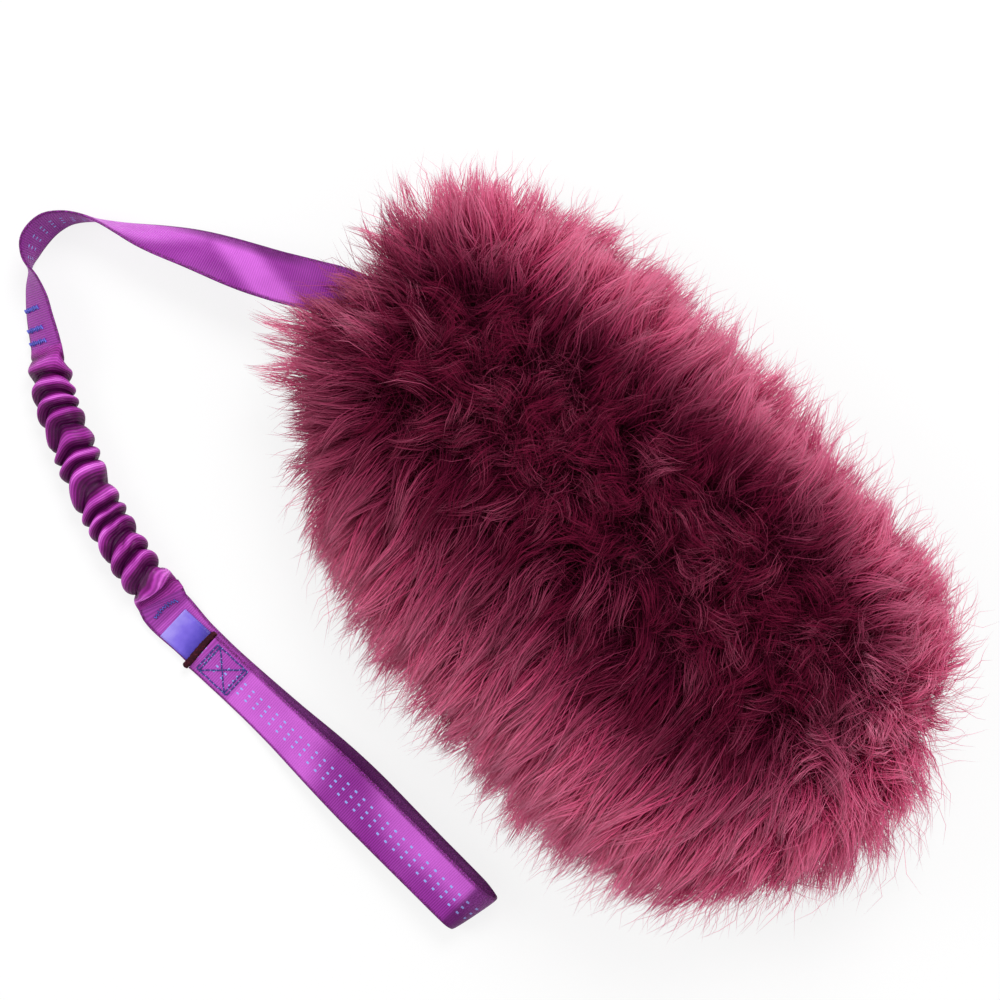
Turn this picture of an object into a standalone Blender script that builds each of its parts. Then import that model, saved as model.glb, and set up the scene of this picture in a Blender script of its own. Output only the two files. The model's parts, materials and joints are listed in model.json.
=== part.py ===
# Sheepskin tug toy: a wool body on a webbing leader, a gathered bungee sleeve and a hand loop.
# It lies on the floor as it was laid out: X to the right, Y away, Z up, the floor at z = 0.
# The origin is the middle of the wool's flat resting face. Sizes are in metres.

import math

import bmesh
import bpy
from mathutils import Matrix, Vector

MM = 0.001
DEG = math.pi / 180

# Clearances
GAP = 0.3 * MM
FLOOR_GAP = 0.3 * MM

# Tubular webbing, woven flat
WEB_WIDTH = 25 * MM
WEB_THICKNESS = 2 * MM
ROUND_END_INSET = 0.03 * MM

# Wool, as the smooth mean surface of the pile
WOOL_LENGTH = 370 * MM
WOOL_NEAR_HALF_WIDTH = 115 * MM
WOOL_FAR_HALF_WIDTH = 106 * MM
WOOL_SEAM_HEIGHT = 36 * MM
WOOL_UP = 50 * MM
WOOL_DOWN = 46 * MM
WOOL_TURN = -41 * DEG
WOOL_SQUARENESS = 2.9
WOOL_ROUNDNESS = 0.8
WOOL_TAPER = 0.1
WOOL_END_SKEW = 0.14
WOOL_SWELL = 0.018
WOOL_NEAR_LEAN = 26 * MM
WOOL_FAR_LEAN = -8 * MM
WOOL_LUMP = 13 * MM
WOOL_LUMPINESS = 0.03
LUMP_FREE = 40 * MM

# The two hides, back to back
HIDE_LENGTH = 284 * MM
HIDE_WIDTH = 108 * MM
HIDE_THICKNESS = 2.4 * MM
HIDE_SQUARENESS = 4.0
SEAM_THREAD = 0.9 * MM
SEAM_INSET = 0.94
RIM_RAMP = 0.05
MOUTH_FLARE = 8 * MM
MOUTH_RAMP = 10 * MM

# The leader leaves the wool and is pivoted this far outside it
MOUTH_CLEARANCE = 13.4 * MM
MOUTH_HEADING = 165 * DEG
MOUTH_RUN = 12 * MM
MOUTH_SKEW_ROOM = 1.3

# Gathered sleeve and the elastic inside it
SLEEVE_WALL = 0.9 * MM
SLEEVE_WIDTH = 21 * MM
SLEEVE_HEIGHT = 18 * MM
SLEEVE_FLAT_END = 13 * MM
SCRUNCHES = 13
SCRUNCH_DEPTH = 2.7 * MM
SCRUNCH_SLANT = 2.4 * MM
CREASE_DEPTH = 0.7 * MM
SLEEVE_GRIP = 3 * MM
ELASTIC_ROOM = 0.2 * MM
ELASTIC_FLAT_WIDTH = 18 * MM
ELASTIC_FLAT_THICKNESS = 2 * MM

# Hand loop
LOOP_REACH = 175 * MM
LOOP_BEND_RADIUS = 8.5 * MM
LOOP_HEADING = -42.9 * DEG
LOOP_WAIST = 0.9
LOOP_FLARE = 1.09
LOOP_FLARE_START = 40 * MM
LOOP_FLARE_RUN = 60 * MM
LOOP_DRIFT = 4.8 * MM
OVERLAP_PAST_BOX = 3.8 * MM
BEAD = 3.0 * MM
BEAD_PAST_EDGE = 0.25 * MM
BEAD_RISE = 0.55 * MM

# Stitching
BOX_LENGTH = 19 * MM
BOX_MARGIN = 3.75 * MM
STITCH_LINE = 1.1 * MM
STITCH_HEIGHT = 0.5 * MM
TACK_LENGTH = 14 * MM
TACK_WIDTH = 2.2 * MM
TACK_HEIGHT = 0.8 * MM
TACK_MARGIN = 1 * MM

# Bare satin label, folded double
LABEL_LENGTH = 22 * MM
LABEL_WIDTH = 18.4 * MM
LABEL_THICKNESS = 0.6 * MM
LABEL_CAUGHT = 1.4 * MM
LABEL_ASIDE = 0.6 * MM

# Sizes that follow from the ones above
HALF_WEB = WEB_WIDTH / 2
HALF_THICK = WEB_THICKNESS / 2
PIVOT_SPACE = HALF_THICK + GAP
HIDE_OPEN = HALF_THICK + GAP
HIDE_PINCH = SEAM_THREAD / 2 + GAP
MOUTH_HALF_WIDTH = HALF_WEB + 1.5 * GAP + SLEEVE_WALL
MOUTH_HALF_THICK = HALF_THICK + 2.2 * GAP + SLEEVE_WALL
ELASTIC_THICKNESS = SLEEVE_HEIGHT - 2 * (SLEEVE_WALL + SCRUNCH_DEPTH + CREASE_DEPTH + ELASTIC_ROOM)
WAIST_WIDTH = WEB_WIDTH * LOOP_WAIST
BOX_WIDTH = WAIST_WIDTH - 2 * BOX_MARGIN
BEAD_LENGTH = WAIST_WIDTH + 2 * BEAD_PAST_EDGE
OVERLAP_END = BOX_LENGTH / 2 + OVERLAP_PAST_BOX
TACK_ASIDE = HALF_WEB - TACK_MARGIN - TACK_LENGTH / 2


def clear_scene():
    for obj in list(bpy.data.objects):
        bpy.data.objects.remove(obj)


def collection(name, hidden=False):
    made = bpy.data.collections.new(name)
    bpy.context.scene.collection.children.link(made)
    made.hide_render = hidden
    return made


def material(name, colour, roughness, metallic=0.0):
    made = bpy.data.materials.new(name)
    made.use_nodes = True
    shader = made.node_tree.nodes["Principled BSDF"]
    shader.inputs["Base Color"].default_value = (*colour, 1.0)
    shader.inputs["Roughness"].default_value = roughness
    shader.inputs["Metallic"].default_value = metallic
    made.diffuse_color = (*colour, 1.0)
    return made


clear_scene()
parts = collection("sheepskin_tug_toy")
helpers = collection("cutters", hidden=True)

wool_dye = material("dyed_wool", (0.16, 0.012, 0.045), 0.85)
hide_skin = material("sheep_hide", (0.42, 0.26, 0.2), 0.8)
nylon = material("tubular_nylon", (0.3, 0.03, 0.34), 0.4)
seared_nylon = material("seared_nylon", (0.03, 0.005, 0.02), 0.6)
elastic_rubber = material("elastic_rubber", (0.03, 0.025, 0.035), 0.7)
blue_thread = material("blue_thread", (0.05, 0.05, 0.28), 0.5)
satin = material("violet_satin", (0.14, 0.06, 0.55), 0.3)


def new_object(name, data, look, into=None):
    obj = bpy.data.objects.new(name, data)
    (into or parts).objects.link(obj)
    if look:
        obj.data.materials.append(look)
    return obj


def from_bmesh(name, form, look, into=None):
    mesh = bpy.data.meshes.new(name)
    form.to_mesh(mesh)
    form.free()
    return new_object(name, mesh, look, into)


def helper(obj):
    obj.hide_render = True
    obj.display_type = "WIRE"
    return obj


def pivot(name, place, parent=None):
    """An empty on a joint's axis, which carries the pieces that move there."""
    empty = bpy.data.objects.new(name, None)
    empty.empty_display_size = 10 * MM
    parts.objects.link(empty)
    empty.location = place
    if parent:
        empty.parent = parent
        empty.location = place - world_place(parent)
    return empty


def world_place(empty):
    place = Vector(empty.location)
    while empty.parent:
        empty = empty.parent
        place += empty.location
    return place


def carry(empty, *objects):
    """Parents pieces drawn in place to a pivot, with their origins on it."""
    place = world_place(empty)
    for obj in objects:
        obj.data.transform(Matrix.Translation(-place))
        obj.parent = empty


def signed_power(value, power):
    return math.copysign(abs(value) ** power, value)


def smoothstep(value):
    value = min(max(value, 0.0), 1.0)
    return value * value * (3 - 2 * value)


def mix(a, b, share):
    return a + (b - a) * share


# Smooth routes through chosen rows of (x, y, z, roll). Roll lifts the left edge of the webbing.


def smooth_route(rows, steps):
    """Rows sampled on a smooth curve, with steps[i] pieces between rows i and i + 1."""
    along = [0.0]
    for a, b in zip(rows, rows[1:]):
        along.append(along[-1] + math.dist(a[:3], b[:3]))
    slopes = []
    for i in range(len(rows)):
        low, high = max(i - 1, 0), min(i + 1, len(rows) - 1)
        span = along[high] - along[low]
        slopes.append([(b - a) / span for a, b in zip(rows[low], rows[high])])
    samples = []
    marks = []
    for i, count in enumerate(steps):
        marks.append(len(samples))
        span = along[i + 1] - along[i]
        for k in range(count):
            t = k / count
            h = (
                2 * t**3 - 3 * t**2 + 1,
                (t**3 - 2 * t**2 + t) * span,
                3 * t**2 - 2 * t**3,
                (t**3 - t**2) * span,
            )
            ends = zip(rows[i], slopes[i], rows[i + 1], slopes[i + 1])
            samples.append([sum(x * y for x, y in zip(h, four)) for four in ends])
    marks.append(len(samples))
    samples.append(list(rows[-1]))
    return samples, marks


def frames_of(samples):
    """For each sample its place, heading, across (towards the left edge) and face normal."""
    found = []
    for i, row in enumerate(samples):
        low, high = max(i - 1, 0), min(i + 1, len(samples) - 1)
        heading = (Vector(samples[high][:3]) - Vector(samples[low][:3])).normalized()
        left = Vector((0, 0, 1)).cross(heading)
        if left.length < 0.2:
            left = found[-1][4].copy()
        left.normalize()
        up = heading.cross(left)
        roll = row[3]
        across = left * math.cos(roll) + up * math.sin(roll)
        normal = up * math.cos(roll) - left * math.sin(roll)
        found.append((Vector(row[:3]), heading, across, normal, left))
    return found


def flat_section(name, width, thickness):
    """A flat webbing section with full round edges, for a curve's bevel."""
    radius = thickness / 2
    reach = width / 2 - radius
    curve = bpy.data.curves.new(name, "CURVE")
    curve.dimensions = "2D"
    spline = curve.splines.new("POLY")
    turns = [a * 45 * DEG for a in range(-2, 3)]
    points = [(reach + radius * math.cos(a), radius * math.sin(a)) for a in turns]
    points += [(-x, -y) for x, y in points]
    spline.points.add(len(points) - 1)
    for point, (x, y) in zip(spline.points, points):
        point.co = (x, y, 0, 1)
    spline.use_cyclic_u = True
    return helper(new_object(name, curve, None, helpers))


def ribbon(name, samples, section, look, girths=None, into=None):
    """A length of webbing along a route, as a closed mesh."""
    curve = bpy.data.curves.new(name + "_route", "CURVE")
    curve.dimensions = "3D"
    curve.twist_mode = "Z_UP"
    spline = curve.splines.new("POLY")
    spline.points.add(len(samples) - 1)
    for i, (point, row) in enumerate(zip(spline.points, samples)):
        point.co = (*row[:3], 1)
        point.tilt = row[3]
        point.radius = girths[i] if girths else 1.0
    curve.bevel_mode = "OBJECT"
    curve.bevel_object = section
    curve.use_fill_caps = True
    drawn = new_object(name + "_route", curve, None)
    bpy.context.view_layer.update()
    graph = bpy.context.evaluated_depsgraph_get()
    mesh = bpy.data.meshes.new_from_object(drawn.evaluated_get(graph))
    bpy.data.objects.remove(drawn)
    form = bmesh.new()
    form.from_mesh(mesh)
    bpy.data.meshes.remove(mesh)
    bmesh.ops.remove_doubles(form, verts=form.verts, dist=1e-6)
    bmesh.ops.recalc_face_normals(form, faces=form.faces)
    return from_bmesh(name, form, look, into)


def cylinder(name, place, axis, radius, length, sides=16):
    form = bmesh.new()
    turn = Vector((0, 0, 1)).rotation_difference(axis).to_matrix().to_4x4()
    bmesh.ops.create_cone(
        form,
        cap_ends=True,
        segments=sides,
        radius1=radius,
        radius2=radius,
        depth=length,
        matrix=Matrix.Translation(place) @ turn,
    )
    return helper(from_bmesh(name, form, None, helpers))


def combine(obj, other, operation):
    boolean = obj.modifiers.new(operation.lower() + "_" + other.name, "BOOLEAN")
    boolean.operation = operation
    boolean.object = other


def round_end(obj, frame):
    """Rounds a webbing end about its own pivot, so that it can fold a quarter turn either way."""
    length = WEB_WIDTH - WEB_THICKNESS
    radius = HALF_THICK - ROUND_END_INSET
    combine(obj, cylinder(obj.name + "_round", frame[0], frame[2], radius, length), "UNION")


def drawn_back(samples, distance):
    """The route with its last sample drawn back from a pivot."""
    last, before = Vector(samples[-1][:3]), Vector(samples[-2][:3])
    place = last - (last - before).normalized() * distance
    return samples[:-1] + [[*place, samples[-1][3]]]


def tack(name, frame, aside):
    """A bar tack across the webbing, seated on its face."""
    place, heading, across, normal = frame[:4]
    form = bmesh.new()
    bmesh.ops.create_cube(form, size=1.0)
    bmesh.ops.scale(form, vec=(TACK_LENGTH, TACK_WIDTH, TACK_HEIGHT), verts=form.verts)
    bar = from_bmesh(name, form, blue_thread)
    axes = Matrix((across, -heading, normal)).transposed().to_4x4()
    lift = HALF_THICK + GAP + TACK_HEIGHT / 2
    bar.data.transform(Matrix.Translation(place + normal * lift + across * aside) @ axes)
    bevel = bar.modifiers.new("rounded", "BEVEL")
    bevel.width = 0.35 * min(TACK_WIDTH, TACK_HEIGHT)
    bevel.segments = 2
    return bar


# Wool body. Its own axes: u along it towards the far end, v across it, turned by WOOL_TURN.


def superellipse(angle, half_length, half_width, squareness):
    power = 2 / squareness
    u = half_length * signed_power(math.cos(angle), power)
    return u, half_width * signed_power(math.sin(angle), power)


def wool_outline(angle):
    far_side = math.sin(angle) > 0
    half_width = WOOL_FAR_HALF_WIDTH if far_side else WOOL_NEAR_HALF_WIDTH
    u, v = superellipse(angle, WOOL_LENGTH / 2, half_width, WOOL_SQUARENESS)
    share = u / (WOOL_LENGTH / 2)
    swell = 1 + WOOL_SWELL * (math.cos(3 * angle + 0.6) + 0.7 * math.cos(5 * angle + 2))
    v *= (1 + WOOL_TAPER * share) * swell
    u -= WOOL_END_SKEW * v * max(-share, 0)
    v += (WOOL_NEAR_LEAN if share < 0 else WOOL_FAR_LEAN) * share**2
    return u, v


def wool_lump(u, v):
    """How far a clump of locks swells or sinks the pile; none where the leader leaves it."""
    a, b = u / WOOL_LUMP, v / WOOL_LUMP
    lump = math.sin(a + 0.6 * math.sin(b)) * math.cos(1.15 * b + 0.8 * math.sin(0.6 * a))
    from_leader = math.hypot(u + WOOL_LENGTH / 2, v)
    return WOOL_LUMPINESS * lump * smoothstep(from_leader / LUMP_FREE - 1)


def hide_outline(angle, share=1.0):
    half = (HIDE_LENGTH / 2 * share, HIDE_WIDTH / 2 * share)
    return superellipse(angle, *half, HIDE_SQUARENESS)


def to_world(u, v):
    c, s = math.cos(WOOL_TURN), math.sin(WOOL_TURN)
    return u * c - v * s, u * s + v * c


def pile_half(name, upper):
    """Half of the pile's swelling form: a shaped sphere cut at the seam, and flat where it rests."""
    form = bmesh.new()
    bmesh.ops.create_uvsphere(form, u_segments=56, v_segments=28, radius=1.0)
    for vert in form.verts:
        x, y, z = vert.co
        spread = math.hypot(x, y) ** WOOL_ROUNDNESS
        u, v = wool_outline(math.atan2(y, x))
        u, v = u * spread, v * spread
        height = signed_power(z, WOOL_ROUNDNESS) * (WOOL_UP if z > 0 else WOOL_DOWN)
        swell = 1 + wool_lump(u, v)
        vert.co = (u * swell, v * swell, WOOL_SEAM_HEIGHT + height * swell**2)
    side = 1 if upper else -1
    cuts = [(WOOL_SEAM_HEIGHT + side * GAP / 2, -side)]
    if not upper:
        cuts.append((0.0, -1))
    for level, away in cuts:
        made = bmesh.ops.bisect_plane(
            form,
            geom=form.verts[:] + form.edges[:] + form.faces[:],
            dist=1e-7,
            plane_co=(0, 0, level),
            plane_no=(0, 0, away),
            clear_outer=True,
        )
        rim = [e for e in made["geom_cut"] if isinstance(e, bmesh.types.BMEdge)]
        bmesh.ops.contextual_create(form, geom=rim)
    bmesh.ops.recalc_face_normals(form, faces=form.faces)
    return from_bmesh(name, form, wool_dye)


def pocket_cutter():
    """The room inside the pile for the two hides."""
    half = HIDE_OPEN + HIDE_THICKNESS + GAP
    form = bmesh.new()
    bmesh.ops.create_cone(
        form, cap_ends=True, segments=48, radius1=1, radius2=1, depth=2 * half
    )
    for vert in form.verts:
        angle = math.atan2(vert.co.y, vert.co.x)
        room = (HIDE_LENGTH / 2 + 2 * GAP, HIDE_WIDTH / 2 + 2 * GAP)
        u, v = superellipse(angle, *room, HIDE_SQUARENESS)
        vert.co = (u, v, WOOL_SEAM_HEIGHT + vert.co.z)
    return helper(from_bmesh("hide_pocket", form, None, helpers))


def hide_panel(name, side, mouth_v):
    """One hide: pinched to its seam round the rim, open where the webbing runs out."""
    form = bmesh.new()
    bmesh.ops.create_uvsphere(form, u_segments=40, v_segments=12, radius=1.0)
    below = [vert for vert in form.verts if vert.co.z < -0.01]
    bmesh.ops.delete(form, geom=below, context="VERTS")
    for vert in form.verts:
        x, y, _ = vert.co
        share = math.hypot(x, y)
        u, v = hide_outline(math.atan2(y, x), share)
        at_mouth = 1 - smoothstep((abs(v - mouth_v) - HALF_WEB - MOUTH_FLARE) / MOUTH_RAMP)
        at_mouth *= u < 0
        opened = max(at_mouth, smoothstep((SEAM_INSET - share) / RIM_RAMP))
        height = mix(HIDE_PINCH, HIDE_OPEN, opened)
        vert.co = (u, v, WOOL_SEAM_HEIGHT + side * height)
    if side < 0:
        bmesh.ops.reverse_faces(form, faces=form.faces)
    panel = from_bmesh(name, form, hide_skin)
    skin = panel.modifiers.new("skin", "SOLIDIFY")
    skin.thickness = HIDE_THICKNESS
    skin.offset = 1
    return panel


def seam_thread(mouth_v):
    """The seam between the two rims, open only where the webbing runs out."""
    points = []
    for i in range(240):
        angle = math.pi + (i + 0.5) / 240 * 2 * math.pi
        u, v = hide_outline(angle, SEAM_INSET)
        if u < 0 and abs(v - mouth_v) < HALF_WEB * MOUTH_SKEW_ROOM + SEAM_THREAD:
            continue
        points.append((u, v))
    start = max(range(len(points)), key=lambda i: math.dist(points[i], points[i - 1]))
    points = points[start:] + points[:start]
    kept = [points[0]]
    for point in points[1:]:
        if math.dist(point, kept[-1]) > 9 * MM:
            kept.append(point)
    curve = bpy.data.curves.new("edge_seam_thread", "CURVE")
    curve.dimensions = "3D"
    spline = curve.splines.new("POLY")
    spline.points.add(len(kept) - 1)
    for point, (u, v) in zip(spline.points, kept):
        point.co = (u, v, WOOL_SEAM_HEIGHT, 1)
    curve.bevel_depth = SEAM_THREAD / 2
    curve.bevel_resolution = 1
    curve.use_fill_caps = True
    return new_object("edge_seam_thread", curve, blue_thread)


web_section = flat_section("webbing_section", WEB_WIDTH, WEB_THICKNESS)
channel_section = flat_section(
    "channel_section", WEB_WIDTH + 2 * GAP, WEB_THICKNESS + 2 * GAP
)
label_section = flat_section("label_section", LABEL_WIDTH, LABEL_THICKNESS)

# Where the leader leaves the wool, and its heading there
mouth_u = -(WOOL_LENGTH / 2 + MOUTH_CLEARANCE)
mouth = Vector((*to_world(mouth_u, 0), WOOL_SEAM_HEIGHT))
outward = Vector((math.cos(MOUTH_HEADING), math.sin(MOUTH_HEADING), 0))


def core_rows():
    """The webbing between the hides: straight along the body, then bent over to the mouth."""
    hide_end = -HIDE_LENGTH / 2
    far_end = HIDE_LENGTH / 2 * 0.88
    bend = [
        (far_end, 0),
        (far_end / 2, 0),
        (0, 0),
        (hide_end * 0.42, 0.8 * MM),
        (hide_end * 0.67, 4 * MM),
        (hide_end * 0.83, 8.5 * MM),
        (hide_end, 12.8 * MM),
        (mix(hide_end, mouth_u, 0.4), 12.4 * MM),
    ]
    rows = [(*to_world(u, v), WOOL_SEAM_HEIGHT, 0.0) for u, v in bend]
    return rows + [(*(mouth - outward * MOUTH_RUN), 0.0), (*mouth, 0.0)]


core_samples, core_marks = smooth_route(core_rows(), [2, 2, 2, 3, 3, 3, 3, 4, 2])
core_samples = drawn_back(core_samples, PIVOT_SPACE)


def crossing_v(u_line):
    """How far aside the core webbing is where it crosses the hides' rim."""
    c, s = math.cos(WOOL_TURN), math.sin(WOOL_TURN)
    local = [(x * c + y * s, -x * s + y * c) for x, y, _, _ in core_samples]
    return min(local, key=lambda point: abs(point[0] - u_line))[1]


mouth_v = crossing_v(-HIDE_LENGTH / 2 * SEAM_INSET)

body_axis = pivot("wool_axis", Vector((0, 0, 0)))
body_axis.rotation_euler.z = WOOL_TURN
pocket = pocket_cutter()
pocket.parent = body_axis
channel = helper(
    ribbon("webbing_channel", core_samples, channel_section, None, into=helpers)
)
wool_upper = pile_half("wool_pile_upper", True)
wool_lower = pile_half("wool_pile_lower", False)
for half in (wool_upper, wool_lower):
    half.parent = body_axis
    combine(half, pocket, "DIFFERENCE")
    combine(half, channel, "DIFFERENCE")
for panel in (
    hide_panel("hide_upper_panel", 1, mouth_v),
    hide_panel("hide_lower_panel", -1, mouth_v),
    seam_thread(mouth_v),
):
    panel.parent = body_axis
core_strap = ribbon("core_strap", core_samples, web_section, nylon)


# Leader, bungee and hand loop: one length of webbing on one route from the mouth.


def web_rest(roll):
    """How high flat webbing lies with its face rolled by this much."""
    lean = abs(math.sin(roll)) * HALF_WEB + abs(math.cos(roll)) * HALF_THICK
    return lean + FLOOR_GAP


def sleeve_size(share):
    """Half width and half thickness of the sleeve's envelope at a share of its length."""
    past_grip = min(share, 1 - share) * sleeve_length - SLEEVE_GRIP
    rounded = smoothstep(past_grip / SLEEVE_FLAT_END)
    half_width = mix(MOUTH_HALF_WIDTH, SLEEVE_WIDTH / 2, rounded)
    return half_width, mix(MOUTH_HALF_THICK, SLEEVE_HEIGHT / 2, rounded), rounded


def sleeve_rest(share, roll):
    half_width, half_thick, rounded = sleeve_size(share)
    wide, thick = half_width * abs(math.sin(roll)), half_thick * abs(math.cos(roll))
    return mix(wide + thick, math.hypot(wide, thick), rounded) + FLOOR_GAP


def leader_row(x, y, roll, seam_share=0.0, sleeve_share=0.0):
    """A point of the leader from the mouth, raised by shares of the seam's and sleeve's heights."""
    roll *= DEG
    raised = seam_share * (WOOL_SEAM_HEIGHT - web_rest(0))
    raised += sleeve_share * (sleeve_rest(0, sleeve_top_roll) - web_rest(sleeve_top_roll))
    return (mouth.x + x * MM, mouth.y + y * MM, web_rest(roll) + raised, roll)


sleeve_plan = [
    (-136, -28),
    (-135.3, -34.8),
    (-134, -43),
    (-131, -56.8),
    (-123.4, -76.1),
    (-115.8, -95),
    (-105.3, -115),
    (-95.3, -131.5),
    (-87.5, -142.8),
    (-84, -147.6),
    (-80.3, -153.1),
]
sleeve_top_roll = 66 * DEG
sleeve_length = sum(math.dist(a, b) for a, b in zip(sleeve_plan, sleeve_plan[1:])) * MM

leader_rows = [
    (*mouth, 0.0),
    (*(mouth + outward * MOUTH_RUN - Vector((0, 0, 0.2 * MOUTH_RUN))), 0.0),
    leader_row(-21, 5.8, 4, 0.82),
    leader_row(-34, 10, 9, 0.7),
    leader_row(-61, 19.7, 33, 0.38),
    leader_row(-84, 26.6, 54, 0.12),
    leader_row(-100, 31, 72),
    leader_row(-114.5, 34.7, 90),
]
arc_rows = [
    leader_row(-125, 34.6, 108),
    leader_row(-134, 31.2, 124),
    leader_row(-141.2, 23.8, 126),
    leader_row(-143.8, 15.6, 110),
    leader_row(-143, 6.5, 90),
    leader_row(-141.2, -3.4, 70, 0, 0.35),
    leader_row(-139.4, -13.3, 66, 0, 0.8),
]


def sleeve_rows():
    rows = []
    along = 0.0
    for i, (x, y) in enumerate(sleeve_plan):
        if i:
            along += math.dist(sleeve_plan[i - 1], (x, y)) * MM
        share = along / sleeve_length
        roll = sleeve_top_roll * (1 - smoothstep(share / 0.6))
        rows.append((mouth.x + x * MM, mouth.y + y * MM, sleeve_rest(share, roll), roll))
    return rows


# The hand loop's own axes: s along it from the middle of the box stitch, m to its left.
loop_heading = Vector((math.cos(LOOP_HEADING), math.sin(LOOP_HEADING), 0))
loop_left = Vector((0, 0, 1)).cross(loop_heading)
box_place = mouth + Vector((-49.7 * MM, -188.4 * MM, -WOOL_SEAM_HEIGHT))

LOWER_Z = HALF_THICK + FLOOR_GAP
UPPER_Z = LOWER_Z + WEB_THICKNESS + GAP
END_Z = LOWER_Z + WEB_THICKNESS + LABEL_THICKNESS + 2.2 * GAP
BEND_Z = LOWER_Z + LOOP_BEND_RADIUS
TAIL_Z = MOUTH_HALF_THICK + FLOOR_GAP
bend_s = LOOP_REACH - LOOP_BEND_RADIUS - HALF_THICK


def loop_row(s, m, z):
    """A route row; past the stitching the whole loop drifts to the right."""
    drift = LOOP_DRIFT * smoothstep(s / LOOP_REACH - 0.15)
    place = box_place + loop_heading * s + loop_left * (m - drift)
    return (place.x, place.y, z, 0.0)


def bend_row(turn, m):
    s = bend_s + LOOP_BEND_RADIUS * math.cos(turn)
    return loop_row(s, m, BEND_Z + LOOP_BEND_RADIUS * math.sin(turn))


half_box = BOX_LENGTH / 2 + 1.5 * MM
tail_rows = [loop_row(-42.5 * MM, 3.3 * MM, TAIL_Z)]
pivot_row = loop_row(-36.6 * MM, 2.8 * MM, TAIL_Z)
lower_rows = [
    loop_row(-27 * MM, 2.2 * MM, mix(TAIL_Z, LOWER_Z, 0.7)),
    loop_row(-16 * MM, 1.7 * MM, LOWER_Z),
    loop_row(0, 1.4 * MM, LOWER_Z),
    loop_row(bend_s * 0.2, 2.2 * MM, LOWER_Z),
    loop_row(bend_s * 0.5, 3.6 * MM, LOWER_Z),
    loop_row(bend_s * 0.82, 3.2 * MM, LOWER_Z),
]
BEND_TURNS = (-90, -54, -18, 18, 54, 90)
BEND_DRIFT = 0.009 * MM
BEND_PIECES = 3
bend_rows = [bend_row(turn * DEG, 2.1 * MM - turn * BEND_DRIFT) for turn in BEND_TURNS]
BEND_TOP = BEND_Z + LOOP_BEND_RADIUS
upper_rows = [
    loop_row(bend_s * 0.86, 1.2 * MM, mix(UPPER_Z, BEND_TOP, 0.965)),
    loop_row(bend_s * 0.62, 0.6 * MM, mix(UPPER_Z, BEND_TOP, 0.78)),
    loop_row(bend_s * 0.38, 0.2 * MM, mix(UPPER_Z, BEND_TOP, 0.46)),
    loop_row(bend_s * 0.19, 0, mix(UPPER_Z, BEND_TOP, 0.14)),
    loop_row(half_box, 0, UPPER_Z),
    loop_row(0, 0, UPPER_Z),
    loop_row(-BOX_LENGTH / 2 - GAP, 0, UPPER_Z + 0.05 * MM),
    loop_row(-OVERLAP_END + LABEL_CAUGHT, 0, END_Z),
    loop_row(-OVERLAP_END, 0, END_Z),
]

route_rows = leader_rows + arc_rows + sleeve_rows() + tail_rows + [pivot_row]
route_rows += lower_rows + bend_rows + upper_rows
first_arc = len(leader_rows) - 1
first_sleeve = first_arc + len(arc_rows) + 1
last_sleeve = first_sleeve + len(sleeve_plan) - 1
loop_start = last_sleeve + len(tail_rows) + 1
bend_start = loop_start + len(lower_rows) + 1


def piece_counts():
    """Finer pieces where the route bends more."""
    counts = []
    for i, (a, b) in enumerate(zip(route_rows, route_rows[1:])):
        step = 4.5 * MM
        if first_arc <= i < first_sleeve:
            step = 3.2 * MM
        if first_sleeve <= i < last_sleeve:
            step = 1.5 * MM
        if loop_start <= i:
            step = 9 * MM
        if bend_start <= i < bend_start + len(BEND_TURNS) - 1:
            counts.append(BEND_PIECES)
            continue
        if i >= len(route_rows) - 5:
            step = 4 * MM
        counts.append(max(1, round(math.dist(a[:3], b[:3]) / step)))
    return counts


route, marks = smooth_route(route_rows, piece_counts())
for row, after in zip(route[marks[bend_start] :], route[marks[bend_start] + 1 :]):
    # Past the bend the webbing lies with its other face up.
    if (Vector(after[:3]) - Vector(row[:3])).dot(loop_heading) < 0:
        row[3] = after[3] = math.pi
route_frames = frames_of(route)
swing_at = marks[first_arc]
sleeve_from = marks[first_sleeve]
sleeve_to = marks[last_sleeve]
fold_at = marks[loop_start]

lift_place = Vector(route[0][:3])
swing_place = Vector(route[swing_at][:3])
stretch_place = Vector(route[sleeve_to][:3])
fold_place = Vector(route[fold_at][:3])

lift_pivot = pivot("leader_lift_pivot", lift_place)
swing_pivot = pivot("leader_swing_pivot", swing_place, lift_pivot)
stretch_carrier = pivot("bungee_stretch_carrier", stretch_place, swing_pivot)
fold_pivot = pivot("handle_fold_pivot", fold_place, stretch_carrier)

leader = ribbon("leader_strap", drawn_back(route[: swing_at + 1], PIVOT_SPACE), web_section, nylon)
carry(lift_pivot, leader)


def row_towards(index, other, distance):
    """A row on the route at a distance from one sample towards another."""
    start, end = Vector(route[index][:3]), Vector(route[other][:3])
    place = start + (end - start).normalized() * distance
    return [*place, route[index][3]]


grip_in = row_towards(sleeve_from, sleeve_from + 2, SLEEVE_GRIP)
arc = ribbon("arc_strap", route[swing_at:sleeve_from] + [grip_in], web_section, nylon)
carry(swing_pivot, arc)

grip_out = row_towards(sleeve_to, sleeve_to - 2, SLEEVE_GRIP)
tail = ribbon(
    "sleeve_tail",
    drawn_back([grip_out] + route[sleeve_to + 1 : fold_at + 1], PIVOT_SPACE),
    web_section,
    nylon,
)
carry(stretch_carrier, tail)

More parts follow.
